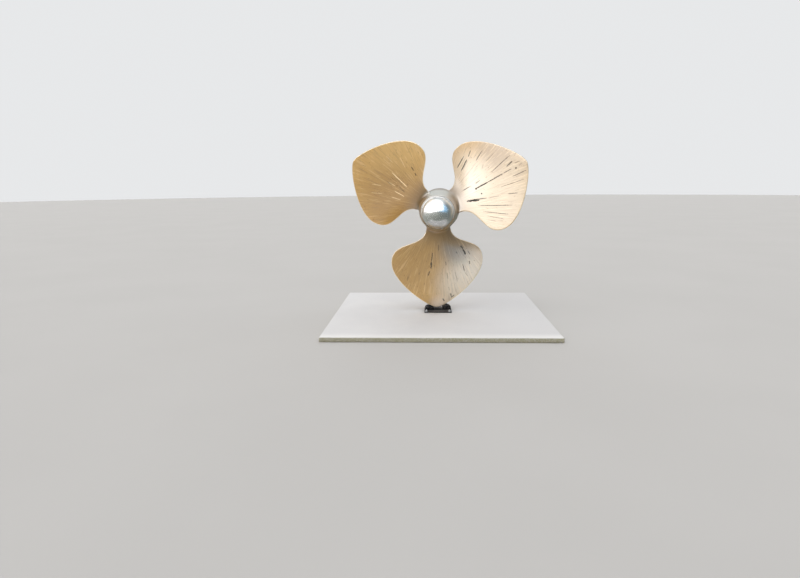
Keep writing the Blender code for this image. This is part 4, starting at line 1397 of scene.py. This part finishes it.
def make_world():
    """A pale studio: plain to the camera, a soft sky for the light, and panels for the reflections."""
    world = bpy.data.worlds.new("studio")
    bpy.context.scene.world = world
    world.use_nodes = True
    world.cycles.sampling_method = "NONE"
    world.node_tree.nodes.clear()
    nodes = Nodes(world.node_tree)
    direction = nodes.add("ShaderNodeTexCoord").outputs["Generated"]
    up = nodes.along(direction, UP)
    soft = nodes.mix(nodes.times(up, up), SOFT_LOW, SOFT_HIGH)
    mirrored = nodes.mix(nodes.between(up, 0.3, 0.95), MIRRORED_LOW, MIRRORED_HIGH)
    for towards, widest, narrowest, tone in PANELS:
        nearness = nodes.along(direction, tuple(Vector(towards).normalized()))
        edge = math.cos(math.radians(widest)), math.cos(math.radians(narrowest))
        mirrored = nodes.mix(nodes.between(nearness, *edge), mirrored, tone)
    uneven = nodes.times(nodes.noise(direction, 5.0, 3.0), 0.12)
    above_belt = nodes.between(nodes.minus(up, uneven), -0.04, 0.02)
    mirrored = nodes.mix(above_belt, MIRRORED_BELT, mirrored)
    rays = nodes.add("ShaderNodeLightPath").outputs
    light = nodes.mix(rays["Is Glossy Ray"], soft, mirrored)
    around = nodes.add("ShaderNodeBackground", light, 1.0).outputs[0]
    plain = nodes.add("ShaderNodeBackground", PLAIN_SKY, 1.0).outputs[0]
    both = nodes.add("ShaderNodeMixShader", rays["Is Camera Ray"], around, plain).outputs[0]
    nodes.add("ShaderNodeOutputWorld", both)


def add_light(name, direction, strength, tint):
    """A broad soft light that comes evenly from a direction."""
    lamp = bpy.data.lights.new(name, "SUN")
    lamp.angle = SOFT_LIGHT_ANGLE
    lamp.energy = strength
    lamp.color = tint
    holder = bpy.data.objects.new(name, lamp)
    holder.visible_glossy = False
    bpy.context.scene.collection.objects.link(holder)
    direction = Vector(direction)
    holder.matrix_world = Matrix.LocRotScale(direction, direction.to_track_quat("Z", "Y"), None)
    return holder


def make_camera():
    """The camera where the photograph was taken from."""
    level = math.cos(CAMERA_PITCH)
    ahead = (math.sin(CAMERA_YAW) * level, math.cos(CAMERA_YAW) * level, -math.sin(CAMERA_PITCH))
    turn = Vector(ahead).to_track_quat("-Z", "Y").to_matrix() @ Matrix.Rotation(CAMERA_ROLL, 3, "Z")
    camera = bpy.data.objects.new("camera", bpy.data.cameras.new("camera"))
    camera.data.sensor_width = CAMERA_SENSOR
    camera.data.lens = CAMERA_LENS
    camera.matrix_world = Matrix.LocRotScale(Vector(CAMERA_PLACE), turn, None)
    bpy.context.scene.collection.objects.link(camera)
    bpy.context.scene.camera = camera


def light_studio(floor, pad):
    """Light from behind above, and light as sunlit ground before the object gives it.

    The light from the ground leaves out the floor and the pad, which it would have to shine through.
    """
    bpy.context.scene.view_settings.view_transform = "Standard"
    make_world()
    add_light("back", BACK_FROM, BACK_STRENGTH, BACK_TINT)
    ground = add_light("ground", GROUND_FROM, GROUND_STRENGTH, GROUND_TINT)
    passed = bpy.data.collections.new("passed_by_ground_light")
    for piece in (floor, pad):
        passed.objects.link(piece)
    for entry in passed.collection_objects:
        entry.light_linking.link_state = "EXCLUDE"
    ground.light_linking.receiver_collection = passed
    ground.light_linking.blocker_collection = passed


def build():
    tree = edge_tree()
    zinc = bare_steel()
    cast_propeller(tree, bronze_paint())
    make_cap(polished_cap(), zinc)
    make_bracket(black_steel())
    make_anchors(zinc)
    return make_pad(concrete())


make_camera()
light_studio(make_floor(), build())
